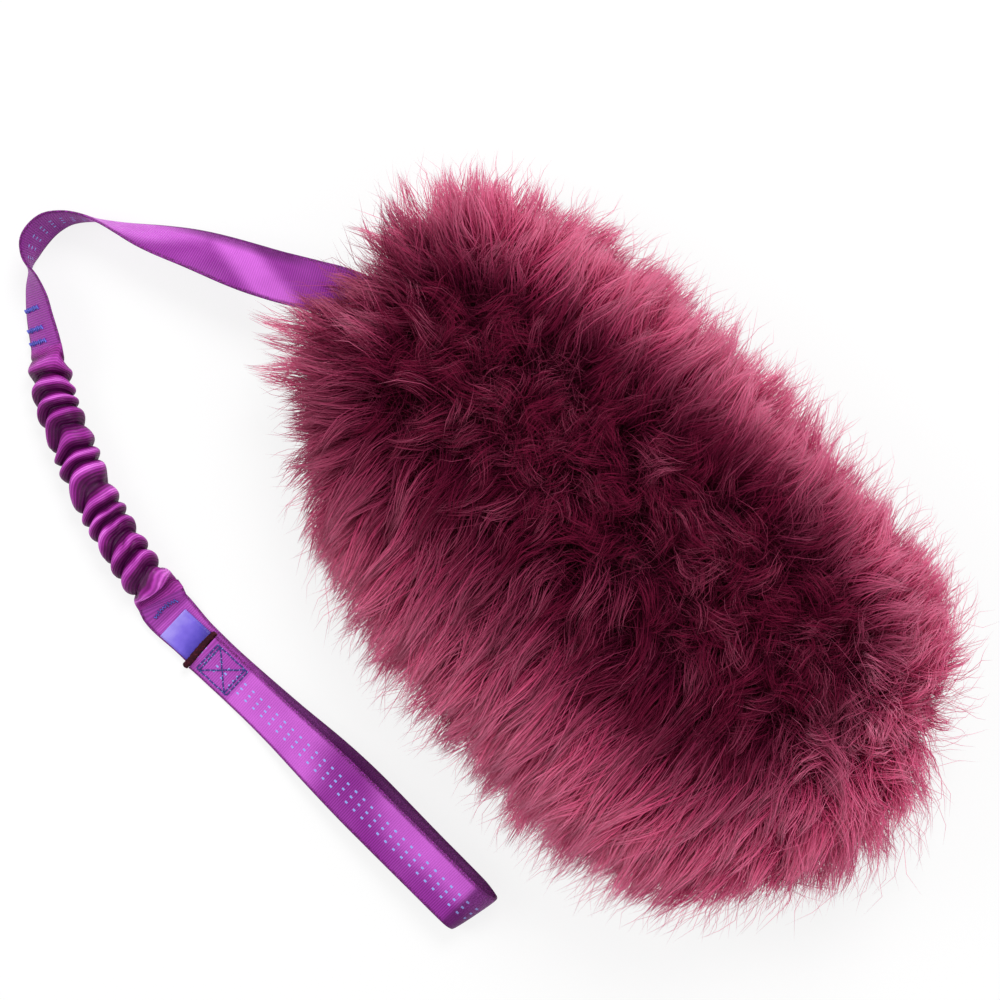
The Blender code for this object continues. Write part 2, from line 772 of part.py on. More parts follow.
loop_samples = route[fold_at:]
loop_girths = []
for row in loop_samples:
    s = (Vector(row[:3]) - box_place).dot(loop_heading)
    past_box = smoothstep((s - BOX_LENGTH) / (60 * MM))
    before_box = smoothstep((-s - BOX_LENGTH) / (20 * MM))
    flare = smoothstep((s - LOOP_FLARE_START) / LOOP_FLARE_RUN)
    loop_girths.append(mix(mix(LOOP_WAIST, 1.0, max(past_box, before_box)), LOOP_FLARE, flare))
handle = ribbon("handle_loop", loop_samples, web_section, nylon, loop_girths)
carry(fold_pivot, handle)

round_end(leader, route_frames[0])
round_end(arc, route_frames[swing_at])
round_end(handle, route_frames[fold_at])


# Gathered sleeve: a tube of webbing whose scrunches are slanted and uneven, flat at both mouths.


def along_route(first, last):
    """Frames of the route between two samples, each with its distance along."""
    found = []
    distance = 0.0
    for i in range(first, last + 1):
        if i > first:
            distance += (route_frames[i][0] - route_frames[i - 1][0]).length
        found.append((distance, route_frames[i]))
    return found


sleeve_line = along_route(sleeve_from, sleeve_to)
line_length = sleeve_line[-1][0]


def frame_at(distance):
    distance = min(max(distance, 0.0), line_length)
    for (d0, a), (d1, b) in zip(sleeve_line, sleeve_line[1:]):
        if distance <= d1:
            break
    share = (distance - d0) / (d1 - d0)
    place = a[0].lerp(b[0], share)
    heading, across = a[1].lerp(b[1], share), a[2].lerp(b[2], share)
    heading.normalize()
    across = (across - heading * across.dot(heading)).normalized()
    return place, heading, across, heading.cross(across)


def oval(angle, half_width, half_thick, squareness):
    power = 2 / squareness
    x = half_width * signed_power(math.cos(angle), power)
    return x, half_thick * signed_power(math.sin(angle), power)


RING_SIDES = 18
RINGS_PER_SCRUNCH = 4


def scrunch_ring(k):
    """One ring of the gathered tube: (distance, per-side shifts and depths)."""
    rings = SCRUNCHES * RINGS_PER_SCRUNCH
    scrunch, phase = divmod(k, RINGS_PER_SCRUNCH)
    uneven = 0.17 * math.sin(2.4 * scrunch + 0.8)
    share = (k + uneven * RINGS_PER_SCRUNCH * math.sin(math.pi * k / rings)) / rings
    depth = (1.0, 0.3, 0.0, 0.28)[phase]
    full = 0.82 + 0.18 * math.sin(1.9 * scrunch + 0.4)
    slant = math.sin(1.7 * scrunch + phase * 0.2)
    facing = 2.1 * scrunch + 0.5
    return share, depth * full, slant, facing


def sleeve_ring(k):
    share, depth, slant, facing = scrunch_ring(k)
    half_width, half_thick, rounded = sleeve_size(share)
    fade = math.sqrt(rounded)
    squareness = mix(6.0, 2.1, rounded)
    ring = []
    for i in range(RING_SIDES):
        angle = (i + 0.5) / RING_SIDES * 2 * math.pi
        x, y = oval(angle, half_width, half_thick, squareness)
        dip = depth * SCRUNCH_DEPTH * fade
        dip += CREASE_DEPTH / 2 * fade * (1 + math.cos(3 * angle + 1.3 * facing))
        size = math.hypot(x, y)
        pull = 1 - dip / size * mix(0.3, 1.0, rounded)
        shift = slant * SCRUNCH_SLANT * fade * math.cos(angle - facing)
        place, heading, across, normal = frame_at(share * line_length + shift)
        ring.append(place + across * (x * pull) + normal * (y * pull))
    return ring


def loft(name, rings, look, capped):
    form = bmesh.new()
    rows = [[form.verts.new(point) for point in ring] for ring in rings]
    for a, b in zip(rows, rows[1:]):
        for i in range(len(a)):
            j = (i + 1) % len(a)
            form.faces.new((a[i], a[j], b[j], b[i]))
    if capped:
        form.faces.new(rows[0][::-1])
        form.faces.new(rows[-1])
    bmesh.ops.recalc_face_normals(form, faces=form.faces)
    return from_bmesh(name, form, look)


sleeve_rings = [sleeve_ring(k) for k in range(SCRUNCHES * RINGS_PER_SCRUNCH + 1)]
sleeve = loft("gathered_sleeve", sleeve_rings, nylon, capped=False)
wall = sleeve.modifiers.new("wall", "SOLIDIFY")
wall.thickness = SLEEVE_WALL
wall.offset = -1


def elastic_ring(k, count):
    start = SLEEVE_GRIP + WEB_THICKNESS + GAP
    distance = mix(start, line_length - start, k / count)
    share = distance / line_length
    rounded = sleeve_size(share)[2]
    half_width = mix(ELASTIC_FLAT_WIDTH, ELASTIC_THICKNESS, rounded) / 2
    half_thick = mix(ELASTIC_FLAT_THICKNESS, ELASTIC_THICKNESS, rounded) / 2
    place, heading, across, normal = frame_at(distance)
    ring = []
    for i in range(10):
        x, y = oval(i / 10 * 2 * math.pi, half_width, half_thick, mix(4.0, 2.0, rounded))
        ring.append(place + across * x + normal * y)
    return ring


elastic = loft("elastic_core", [elastic_ring(k, 24) for k in range(25)], elastic_rubber, True)
carry(swing_pivot, sleeve, elastic)


# Stitching, label and seared end


def frame_near(place):
    return min(route_frames, key=lambda frame: (frame[0] - place).length)


def from_mouth(x, y):
    return Vector((mouth.x + x * MM, mouth.y + y * MM, web_rest(sleeve_top_roll)))


for number, place in enumerate(((-140, -8.6), (-138.6, -18.4), (-137.2, -25)), 1):
    bar = tack("upper_bar_tack_%d" % number, frame_near(from_mouth(*place)), -TACK_ASIDE)
    carry(swing_pivot, bar)
tail_frame = frame_near(mix(stretch_place, fold_place, 0.55))
carry(stretch_carrier, tack("lower_bar_tack", tail_frame, 0))


def box_stitch():
    """The box and its cross, cut from one flat outline with four three-cornered openings."""
    curve = bpy.data.curves.new("box_x_stitch", "CURVE")
    curve.dimensions = "2D"
    curve.fill_mode = "BOTH"
    curve.extrude = STITCH_HEIGHT / 2
    x, y = BOX_LENGTH / 2, BOX_WIDTH / 2
    inner_x, inner_y = x - STITCH_LINE, y - STITCH_LINE
    slope = math.atan2(inner_y, inner_x)
    back_x = STITCH_LINE / 2 / math.sin(slope)
    back_y = STITCH_LINE / 2 / math.cos(slope)
    side = (inner_y - back_y) / math.tan(slope)
    end = (inner_x - back_x) * math.tan(slope)
    outlines = [[(-x, -y), (x, -y), (x, y), (-x, y)]]
    for way in (1, -1):
        outlines.append([(0, way * back_y), (side, way * inner_y), (-side, way * inner_y)])
        outlines.append([(way * back_x, 0), (way * inner_x, end), (way * inner_x, -end)])
    for outline in outlines:
        spline = curve.splines.new("POLY")
        spline.points.add(len(outline) - 1)
        for point, (px, py) in zip(spline.points, outline):
            point.co = (px, py, 0, 1)
        spline.use_cyclic_u = True
    return new_object("box_x_stitch", curve, blue_thread)


stitch = box_stitch()
stitch_z = UPPER_Z + HALF_THICK + GAP + STITCH_HEIGHT / 2
turn = Matrix.Rotation(LOOP_HEADING, 4, "Z")
stitch.data.transform(Matrix.Translation(box_place + Vector((0, 0, stitch_z))) @ turn)

def loop_s(place):
    return (place - box_place).dot(loop_heading)


def lower_layer_z(s):
    """The height of the loop's lower layer at a distance from the box stitch."""
    lower = [frame[0] for frame in route_frames[fold_at : marks[bend_start]]]
    a, b = sorted(lower, key=lambda place: abs(loop_s(place) - s))[:2]
    return mix(a.z, b.z, (s - loop_s(a)) / (loop_s(b) - loop_s(a)))


label_samples = []
for k in range(9):
    s = LABEL_CAUGHT - OVERLAP_END - LABEL_LENGTH * k / 8
    x, y, _, _ = loop_row(s, LABEL_ASIDE, 0)
    z = lower_layer_z(s) + HALF_THICK + GAP + LABEL_THICKNESS / 2
    label_samples.append([x, y, z, 0.0])
label = ribbon("label", label_samples, label_section, satin)


def seared_bead():
    """The webbing's melted end: a bead across it, uneven along its length."""
    curve = bpy.data.curves.new("seared_end", "CURVE")
    curve.dimensions = "3D"
    spline = curve.splines.new("POLY")
    count = 9
    spline.points.add(count - 1)
    s = -OVERLAP_END - GAP - BEAD / 2
    for k, point in enumerate(spline.points):
        share = k / (count - 1)
        x, y, z, _ = loop_row(s, (share - 0.5) * (BEAD_LENGTH - BEAD), END_Z + BEAD_RISE)
        point.co = (x, y, z, 1)
        point.radius = 0.9 + 0.1 * math.sin(7 * share + 0.5) - 0.25 * (2 * share - 1) ** 6
    curve.bevel_depth = BEAD / 2
    curve.bevel_resolution = 2
    curve.use_fill_caps = True
    return new_object("seared_end", curve, seared_nylon)


carry(fold_pivot, stitch, label, seared_bead())

for obj in parts.objects:
    if obj.type == "MESH" and obj.name not in ("core_strap", "leader_strap"):
        obj.data.shade_smooth()
        obj.data.set_sharp_from_angle(angle=40 * DEG)

sleeve_chord = (stretch_place - route_frames[sleeve_from][0]).normalized()
for title, place, axis in (
    ("leader_lift", lift_place, route_frames[0][2]),
    ("leader_swing", swing_place, route_frames[swing_at][2]),
    ("bungee_stretch", stretch_place, sleeve_chord),
    ("handle_fold", fold_place, route_frames[fold_at][2]),
):
    print(title, "at", [round(x / MM, 2) for x in place], "mm, along", axis)
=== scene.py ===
# Looks of the sheepskin tug toy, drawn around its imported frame.
# X is right, Y away and Z up, in metres, with the floor at z = 0.
import json
import math

import bmesh
import bpy
import numpy as np
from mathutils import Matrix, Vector, kdtree, noise


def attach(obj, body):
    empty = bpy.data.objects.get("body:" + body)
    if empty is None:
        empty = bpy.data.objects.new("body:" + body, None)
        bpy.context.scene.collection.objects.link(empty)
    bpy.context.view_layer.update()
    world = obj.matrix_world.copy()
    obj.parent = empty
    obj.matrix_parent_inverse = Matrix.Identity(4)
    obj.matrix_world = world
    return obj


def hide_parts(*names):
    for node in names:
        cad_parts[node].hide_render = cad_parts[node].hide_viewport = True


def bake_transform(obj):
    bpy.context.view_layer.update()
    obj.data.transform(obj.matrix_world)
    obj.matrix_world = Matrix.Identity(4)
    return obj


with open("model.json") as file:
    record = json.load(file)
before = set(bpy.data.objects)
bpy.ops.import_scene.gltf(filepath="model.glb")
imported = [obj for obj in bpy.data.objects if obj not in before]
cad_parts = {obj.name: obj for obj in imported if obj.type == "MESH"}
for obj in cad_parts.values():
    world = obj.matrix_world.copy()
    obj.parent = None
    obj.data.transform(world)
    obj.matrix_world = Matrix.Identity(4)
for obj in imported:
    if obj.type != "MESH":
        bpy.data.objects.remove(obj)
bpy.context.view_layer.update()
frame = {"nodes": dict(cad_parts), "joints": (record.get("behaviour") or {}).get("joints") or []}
nodes = frame["nodes"]
joints = {joint["name"]: Vector(joint["pos_m"]) for joint in frame["joints"]}
mm = 0.001
deg = math.pi / 180
print("frame loaded:", len(nodes), "nodes")


# Materials: a small wrapper so that sums on sockets add their nodes


def tint(code):
    # a colour written as on the web, in the linear values that materials take
    values = [int(code[k : k + 2], 16) / 255 for k in (0, 2, 4)]
    return tuple(x / 12.92 if x < 0.04045 else ((x + 0.055) / 1.055) ** 2.4 for x in values)


def colourOf(value):
    return (*(tint(value) if isinstance(value, str) else value), 1)


class Wire:
    def __init__(self, look, socket):
        self.look = look
        self.socket = socket

    def math(self, operation, *values):
        return self.look.node("ShaderNodeMath", {"operation": operation}, *values)

    def clamped(self):
        made = self.math("MAXIMUM", self, 0.0)
        return made.math("MINIMUM", made, 1.0)

    def band(self, low, high):
        # 0 below low, 1 above high, smooth between them
        return self.look.node("ShaderNodeMapRange", {"interpolation_type": "SMOOTHSTEP"}, self, low, high)

    def part(self, index):
        return self.look.node("ShaderNodeSeparateXYZ", {}, self, out=index)


def giveMath(name, operation, swapped=False):
    def made(self, *others):
        values = (*others, self) if swapped else (self, *others)
        return self.math(operation, *values)

    setattr(Wire, name, made)


for name, operation in (
    ("__add__", "ADD"),
    ("__sub__", "SUBTRACT"),
    ("__mul__", "MULTIPLY"),
    ("__truediv__", "DIVIDE"),
    ("__lt__", "LESS_THAN"),
    ("__abs__", "ABSOLUTE"),
    ("sin", "SINE"),
    ("fraction", "FRACT"),
    ("floor", "FLOOR"),
):
    giveMath(name, operation)
giveMath("__rsub__", "SUBTRACT", swapped=True)


class Look:
    def __init__(self, name, **constants):
        self.material = bpy.data.materials.new(name)
        self.material.use_nodes = True
        self.tree = self.material.node_tree
        self.shader = self.tree.nodes["Principled BSDF"]
        for socket, value in constants.items():
            self.shader.inputs[socket.replace("_", " ")].default_value = value

    def fill(self, socket, value):
        if isinstance(value, Wire):
            self.tree.links.new(value.socket, socket)
        elif value is not None:
            socket.default_value = value

    def node(self, kind, settings, *values, out=0):
        made = self.tree.nodes.new(kind)
        for name, value in settings.items():
            setattr(made, name, value)
        for index, value in enumerate(values):
            self.fill(made.inputs[index], value)
        return Wire(self, made.outputs[out])

    def ramp(self, value, stops):
        made = self.node("ShaderNodeValToRGB", {}, value)
        elements = made.socket.node.color_ramp.elements
        while len(elements) < len(stops):
            elements.new(1.0)
        for element, (place, colour) in zip(elements, stops.items()):
            element.position = place
            element.color = colourOf(colour)
        return made

    def mixed(self, share, first, second, way="MIX"):
        # the colour sockets of a Mix node come after its number and vector ones
        made = self.node("ShaderNodeMix", {"data_type": "RGBA", "blend_type": way}, share, out=2)
        for index, value in ((6, first), (7, second)):
            self.fill(made.socket.node.inputs[index], value if isinstance(value, Wire) else colourOf(value))
        return made

    def attribute(self, name):
        return self.node("ShaderNodeAttribute", {"attribute_name": name}, out=1)

    def place(self):
        return self.node("ShaderNodeTexCoord", {}, out=3)

    def scaled(self, vector, size):
        return self.node("ShaderNodeMapping", {}, vector, None, None, size)

    def noise(self, vector, scale, detail):
        return self.node("ShaderNodeTexNoise", {}, vector, None, scale, detail)

    def finished(self, colour, height=None, distance=1.0, strength=1.0):
        # the material with its colour, and with bumps of this height
        self.fill(self.shader.inputs["Base Color"], colour)
        if height is not None:
            bump = self.node("ShaderNodeBump", {}, strength, distance)
            self.fill(bump.socket.node.inputs["Height"], height)
            self.fill(self.shader.inputs["Normal"], bump)
        return self.material


# Objects: placed in the scene, from a bmesh or a shaped holder, and dressed for the frame


def placed(name, data):
    made = bpy.data.objects.new(name, data)
    bpy.context.scene.collection.objects.link(made)
    return made


def meshFrom(name, form):
    for face in form.faces:
        face.smooth = True
    mesh = bpy.data.meshes.new(name)
    form.to_mesh(mesh)
    form.free()
    return mesh


def shapedMesh(name, holder):
    shaped = holder.evaluated_get(bpy.context.evaluated_depsgraph_get())
    mesh = bpy.data.meshes.new_from_object(shaped)
    mesh.name = name
    return mesh


def dress(piece, material, slot, *replaced):
    piece.data.materials.clear()
    piece.data.materials.append(material)
    if replaced:
        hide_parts(*replaced)
    return piece


# The webbing's route, sampled smoothly through chosen rows of x, y, z and roll

web = {
    "width": 25 * mm,
    "thickness": 2 * mm,
    "gap": 0.3 * mm,
    "crown": 2.8,
    "waist": 0.9,
    "points": 32,
    "step": 1.6 * mm,
}
wool = {
    "length": 370 * mm,
    "nearHalfWidth": 115 * mm,
    "farHalfWidth": 106 * mm,
    "seamHeight": 36 * mm,
    "up": 50 * mm,
    "down": 46 * mm,
    "turn": -41 * deg,
    "squareness": 2.9,
    "roundness": 0.8,
    "taper": 0.1,
    "endSkew": 0.14,
    "swell": 0.018,
    "nearLean": 26 * mm,
    "farLean": -8 * mm,
    "lump": 13 * mm,
    "lumpiness": 0.03,
    "lumpFree": 40 * mm,
    "hideLength": 284 * mm,
}
halfWeb = web["width"] / 2
halfThick = web["thickness"] / 2
gap = web["gap"]
mouth = joints["leader_lift"]
mouthTurn = 165 * deg
outward = Vector((math.cos(mouthTurn), math.sin(mouthTurn), 0))
turnCos = math.cos(wool["turn"])
turnSin = math.sin(wool["turn"])


def toWorld(u, v):
    return u * turnCos - v * turnSin, u * turnSin + v * turnCos


def toWool(x, y):
    # along and across the wool's own length
    return x * turnCos + y * turnSin, y * turnCos - x * turnSin


def mix(a, b, share):
    return a + (b - a) * share


def softStep(value):
    # from 0 to 1, of a number or of an array
    value = np.clip(value, 0, 1)
    return value * value * (3 - 2 * value)


def signedPower(value, power):
    return np.sign(value) * np.abs(value) ** power


def unit(vectors):
    return vectors / np.maximum(np.linalg.norm(vectors, axis=-1, keepdims=True), 1e-9)


def walked(points):
    # how far along a line of points each of them is
    along = [0.0]
    for a, b in zip(points, points[1:]):
        along.append(along[-1] + math.dist(a, b))
    return along


def smoothRoute(rows, step):
    # samples on a smooth curve through the rows, and the sample that each row became
    along = walked([row[:3] for row in rows])
    slopes = []
    for i in range(len(rows)):
        low, high = max(i - 1, 0), min(i + 1, len(rows) - 1)
        span = along[high] - along[low]
        slopes.append([(b - a) / span for a, b in zip(rows[low], rows[high])])
    samples = []
    marks = []
    for i in range(len(rows) - 1):
        marks.append(len(samples))
        span = along[i + 1] - along[i]
        count = max(2, round(span / step))
        for k in range(count):
            t = k / count
            h = (
                2 * t**3 - 3 * t**2 + 1,
                (t**3 - 2 * t**2 + t) * span,
                3 * t**2 - 2 * t**3,
                (t**3 - t**2) * span,
            )
            ends = zip(rows[i], slopes[i], rows[i + 1], slopes[i + 1])
            samples.append([sum(x * y for x, y in zip(h, four)) for four in ends])
    marks.append(len(samples))
    samples.append(list(rows[-1]))
    return samples, marks


def framesOf(samples):
    # each sample's place, heading, direction across to the left edge, and face normal
    found = []
    left = None
    for i, row in enumerate(samples):
        low, high = max(i - 1, 0), min(i + 1, len(samples) - 1)
        heading = (Vector(samples[high][:3]) - Vector(samples[low][:3])).normalized()
        side = Vector((0, 0, 1)).cross(heading)
        if left is not None and (side.length < 0.2 or side.dot(left) < 0):
            side = left - heading * left.dot(heading)
        left = side.normalized()
        up = heading.cross(left)
        c, s = math.cos(row[3]), math.sin(row[3])
        found.append((Vector(row[:3]), heading, left * c + up * s, up * c - left * s))
    return found


def webRest(roll):
    return abs(math.sin(roll)) * halfWeb + abs(math.cos(roll)) * halfThick + gap


sleeve = {
    "wall": 0.9 * mm,
    "width": 21 * mm,
    "height": 18 * mm,
    "flatEnd": 13 * mm,
    "grip": 3 * mm,
    "topRoll": 66 * deg,
    "topTurn": 44 * deg,
    "turnedBy": 0.6,
}
mouthHalfWidth = halfWeb + 1.5 * gap + sleeve["wall"]
mouthHalfThick = halfThick + 2.2 * gap + sleeve["wall"]
sleevePlan = [
    (-136, -28),
    (-135.3, -34.8),
    (-134, -43),
    (-131, -56.8),
    (-123.4, -76.1),
    (-115.8, -95),
    (-105.3, -115),
    (-95.3, -131.5),
    (-87.5, -142.8),
    (-84, -147.6),
    (-80.3, -153.1),
]
sleeveLength = walked(sleevePlan)[-1] * mm


def sleeveSize(share, halfWide=mouthHalfWidth, halfTall=mouthHalfThick, grip=sleeve["grip"]):
    # half width, half height and roundness: flat at both ends, a full oval between them
    rounded = softStep((min(share, 1 - share) * sleeveLength - grip) / sleeve["flatEnd"])
    return mix(halfWide, sleeve["width"] / 2, rounded), mix(halfTall, sleeve["height"] / 2, rounded), rounded


def sleeveRest(share, roll):
    halfWidth, halfHeight, rounded = sleeveSize(share)
    wide, thick = halfWidth * abs(math.sin(roll)), halfHeight * abs(math.cos(roll))
    return mix(wide + thick, math.hypot(wide, thick), rounded) + gap


def leaderRow(x, y, roll, seamShare=0.0, sleeveShare=0.0):
    roll *= deg
    raised = seamShare * (wool["seamHeight"] - webRest(0))
    raised += sleeveShare * (sleeveRest(0, sleeve["topRoll"]) - webRest(sleeve["topRoll"]))
    return (mouth.x + x * mm, mouth.y + y * mm, webRest(roll) + raised, roll)


hideEnd = -wool["hideLength"] / 2
corePlan = [
    (hideEnd * 0.67, 4),
    (hideEnd * 0.83, 8.5),
    (hideEnd, 12.8),
    (mix(hideEnd, toWool(mouth.x, mouth.y)[0], 0.4), 12.4),
]
coreRows = [(*toWorld(u, v * mm), wool["seamHeight"], 0.0) for u, v in corePlan]
coreRows.append((*(mouth - outward * 12 * mm), 0.0))

# x and y from the mouth, the roll, and the shares of the seam's height and of the sleeve's
leaderPlan = [
    (-21, 5.8, 4, 0.82),
    (-34, 10, 9, 0.7),
    (-61, 19.7, 33, 0.38),
    (-84, 26.6, 54, 0.12),
    (-100, 31.6, 74),
    (-115, 35.7, 90),
    (-126, 36, 100),
    (-135.2, 32.6, 110),
    (-142.6, 24.2, 110),
    (-144.6, 15.6, 95),
    (-143, 6.5, 70),
    (-141, -3.4, 56, 0, 0.3),
    (-139.2, -13.3, 50, 0, 0.75),
]
leaderRows = [(*mouth, 0.0), (*(mouth + outward * 12 * mm - Vector((0, 0, 2.4 * mm))), 0.0)]
leaderRows += [leaderRow(*row) for row in leaderPlan]
swingRow = 7

sleeveRows = []
for (x, y), far in zip(sleevePlan, walked(sleevePlan)):
    share = far * mm / sleeveLength
    roll = sleeve["topTurn"] * (1 - softStep(share / sleeve["turnedBy"]))
    sleeveRows.append((mouth.x + x * mm, mouth.y + y * mm, sleeveRest(share, roll), roll))

loop = {
    "reach": 175 * mm,
    "drift": 4.8 * mm,
    "flare": 1.09,
    "flareStart": 40 * mm,
    "flareRun": 60 * mm,
    "bendRadius": 8.5 * mm,
    "heading": -42.9 * deg,
    "boxAt": (-49.7 * mm, -188.4 * mm),
    "boxLength": 19 * mm,
    "overlapEnd": 13.3 * mm,
    "overlapRise": 0.6 * mm,
    "labelCaught": 1.4 * mm,
}
loopHeading = Vector((math.cos(loop["heading"]), math.sin(loop["heading"]), 0))
loopLeft = Vector((0, 0, 1)).cross(loopHeading)
boxPlace = Vector((mouth.x + loop["boxAt"][0], mouth.y + loop["boxAt"][1], 0))
lowerZ = halfThick + gap
upperZ = lowerZ + web["thickness"] + gap
endZ = lowerZ + web["thickness"] + loop["overlapRise"] + 2.2 * gap
bendZ = lowerZ + loop["bendRadius"]
bendTop = bendZ + loop["bendRadius"]
tailZ = mouthHalfThick + gap
bendS = loop["reach"] - loop["bendRadius"] - halfThick


def loopRow(s, m, z):
    # past its stitching the loop drifts to the right
    drift = loop["drift"] * softStep(s / loop["reach"] - 0.15)
    place = boxPlace + loopHeading * s + loopLeft * (m - drift)
    return (place.x, place.y, z, 0.0)


tailPlan = [
    (-42.5, 3.3, tailZ),
    (-36.6, 2.8, tailZ),
    (-27, 2.2, mix(tailZ, lowerZ, 0.7)),
    (-16, 1.7, lowerZ),
    (0, 1.4, lowerZ),
]
tailRows = [loopRow(s * mm, m * mm, z) for s, m, z in tailPlan]
tailRows += [loopRow(bendS * share, m * mm, lowerZ) for share, m in ((0.2, 2.2), (0.5, 3.6), (0.82, 3.2))]
bendRows = []
for turn in (-90, -54, -18, 18, 54, 90):
    s = bendS + loop["bendRadius"] * math.cos(turn * deg)
    z = bendZ + loop["bendRadius"] * math.sin(turn * deg)
    bendRows.append(loopRow(s, 2.1 * mm - turn * 0.009 * mm, z))
upperRows = []
for share, m, height in ((0.86, 1.2, 0.965), (0.62, 0.6, 0.78), (0.38, 0.2, 0.46), (0.19, 0, 0.14)):
    upperRows.append(loopRow(bendS * share, m * mm, mix(upperZ, bendTop, height)))
for s, z in (
    (loop["boxLength"] / 2 + 1.5 * mm, upperZ),
    (0, upperZ),
    (-loop["boxLength"] / 2 - gap, upperZ + 0.05 * mm),
    (loop["labelCaught"] - loop["overlapEnd"], endZ),
    (-loop["overlapEnd"], endZ),
):
    upperRows.append(loopRow(s, 0, z))
route, marks = smoothRoute(coreRows + leaderRows + sleeveRows + tailRows + bendRows + upperRows, web["step"])
routeFrames = framesOf(route)
leaderFirst = len(coreRows)
sleeveFirst = leaderFirst + len(leaderRows)
tailFirst = sleeveFirst + len(sleevePlan)
mouthAt, swingAt = marks[leaderFirst], marks[leaderFirst + swingRow]
sleeveFrom, sleeveTo, foldAt = marks[sleeveFirst], marks[tailFirst - 1], marks[tailFirst + 1]
distances = [0.0]
for a, b in zip(routeFrames, routeFrames[1:]):
    distances.append(distances[-1] + (b[0] - a[0]).length)
print("route drawn:", len(route), "samples")


# Tubes made from a grid that is rolled up along the route


def rolledGrid(name, rings, sides, placeOf, layers):
    # placeOf(i, j) gives a point of ring i, side j; layers are {name: function of i, j}
    form = bmesh.new()
    bmesh.ops.create_grid(form, x_segments=rings - 1, y_segments=sides, size=0.5)
    stored = {title: form.verts.layers.float_vector.new(title) for title in layers}
    for vert in form.verts:
        i = round((vert.co.x + 0.5) * (rings - 1))
        j = round((vert.co.y + 0.5) * sides) % sides
        vert.co = placeOf(i, j)
        for title, valueOf in layers.items():
            vert[stored[title]] = valueOf(i, j)
    bmesh.ops.remove_doubles(form, verts=form.verts, dist=1e-7)
    rim = [edge for edge in form.edges if edge.is_boundary]
    bmesh.ops.holes_fill(form, edges=rim, sides=0)
    for edge in rim:
        edge.smooth = False
    bmesh.ops.recalc_face_normals(form, faces=form.faces)
    return placed(name, meshFrom(name, form))


def webPoint(k):
    # flat tubular webbing, a little crowned, with round edges
    angle, power = k / web["points"] * 2 * math.pi, 2 / web["crown"]
    return signedPower(math.cos(angle), power) * halfWeb, signedPower(math.sin(angle), power) * halfThick


section = [webPoint(k) for k in range(web["points"])]
# painted shade and painted satin highlights on the webbing: how dark each shaded place is painted, and how
# bright the even painted shine on the arc and the box is
satin = {
    "arcShade": 0.14,
    "arcBackShade": 0.25,
    "edgeShade": 0.8,
    "edgeReach": 100 * mm,
    "tailShade": 0.3,
    "insideShade": 0.85,
    "turnShade": 0.93,
    "arcShine": 0.25,
    "boxShine": 0.55,
    "boxEnd": 12 * mm,
}


def shadeAt(index, aside, side):
    # painted shade: the loop's inner faces, its far turn, the arc and one edge by the wool lie darker, as if
    # in shadow
    if index < foldAt:
        arc = softStep((index - swingAt) / 4) * softStep((sleeveFrom - index) / 8)
        far = distances[index] - distances[mouthAt]
        near = softStep(far / (20 * mm)) * softStep((satin["edgeReach"] - far) / (40 * mm))
        edge = satin["edgeShade"] * near * softStep((-aside - 6 * mm) / (4 * mm))
        tail = satin["tailShade"] if index > sleeveTo - 8 else 0.0
        return max(satin["arcBackShade" if side < 0 else "arcShade"] * arc, edge, tail)
    s = (routeFrames[index][0] - boxPlace).dot(loopHeading)
    if side > 0:
        return satin["insideShade"] * softStep(s / (25 * mm))
    return satin["turnShade"] * softStep((s - bendS + 3 * mm) / (3.5 * mm))


def shineAt(index, aside):
    # painted highlights: broad bands of satin shine, one slants across the leader, one lies along its edge,
    # two on the loop; the arc and the box get an even painted shine
    if index < swingAt:
        far = (distances[index] - distances[mouthAt]) / mm
        high = -aside / mm
        slanting = 1 - softStep((abs(far - 35 - 1.7 * high) - 7) / 15)
        edgeOn = softStep((2.2 * high + far - 64) / 26)
        return max(slanting, edgeOn) * softStep((far - 2) / 10)
    if index < foldAt:
        return satin["arcShine"]
    place, _, across, _ = routeFrames[index]
    spot = place + across * aside - boxPlace
    s, m = spot.dot(loopHeading), spot.dot(loopLeft) / mm
    if s < satin["boxEnd"]:
        return satin["boxShine"]
    first = 1 - softStep((s / mm - 58 + 0.4 * m) / 20)
    second = softStep((s / mm - 94 + 0.9 * m) / 24) * softStep((m + 8) / 10)
    return max(first, second)


def strap(name, first, last, girthOf=None):
    def placeOf(i, j):
        place, _, across, normal = routeFrames[first + i]
        x, y = section[j]
        return place + across * (x * (girthOf(place) if girthOf else 1.0)) + normal * y

    def weaveOf(i, j):
        x, y = section[j]
        return (x / mm, y / mm, distances[first + i] / mm)

    # painted shade and painted highlight, carried in the webbing's shade attribute
    def shadeOf(i, j):
        return (shadeAt(first + i, *section[j]), shineAt(first + i, section[j][0]), 0)

    return rolledGrid(name, last + 1 - first, len(section), placeOf, {"weave": weaveOf, "shade": shadeOf})


# Lamps, floor and camera, as the photograph is taken from straight above

stage = {
    "camera": (-61 * mm, 26.5 * mm, 1.25),
    "lens": 90,
    "sensor": 36,
    "floorSize": 40.0,
    "floorColour": (0.86, 0.86, 0.86, 1),
    "floorGlow": 0.8,
    "worldStrength": 0.55,
    "lampSize": 0.9,
    "lamps": {
        "keyLamp": ((0.25, 1.15, 1.45), 21),
        "fillLamp": ((1.0, -0.8, 1.2), 6),
        "sideLamp": ((-1.3, 0.3, 1.1), 8),
    },
}


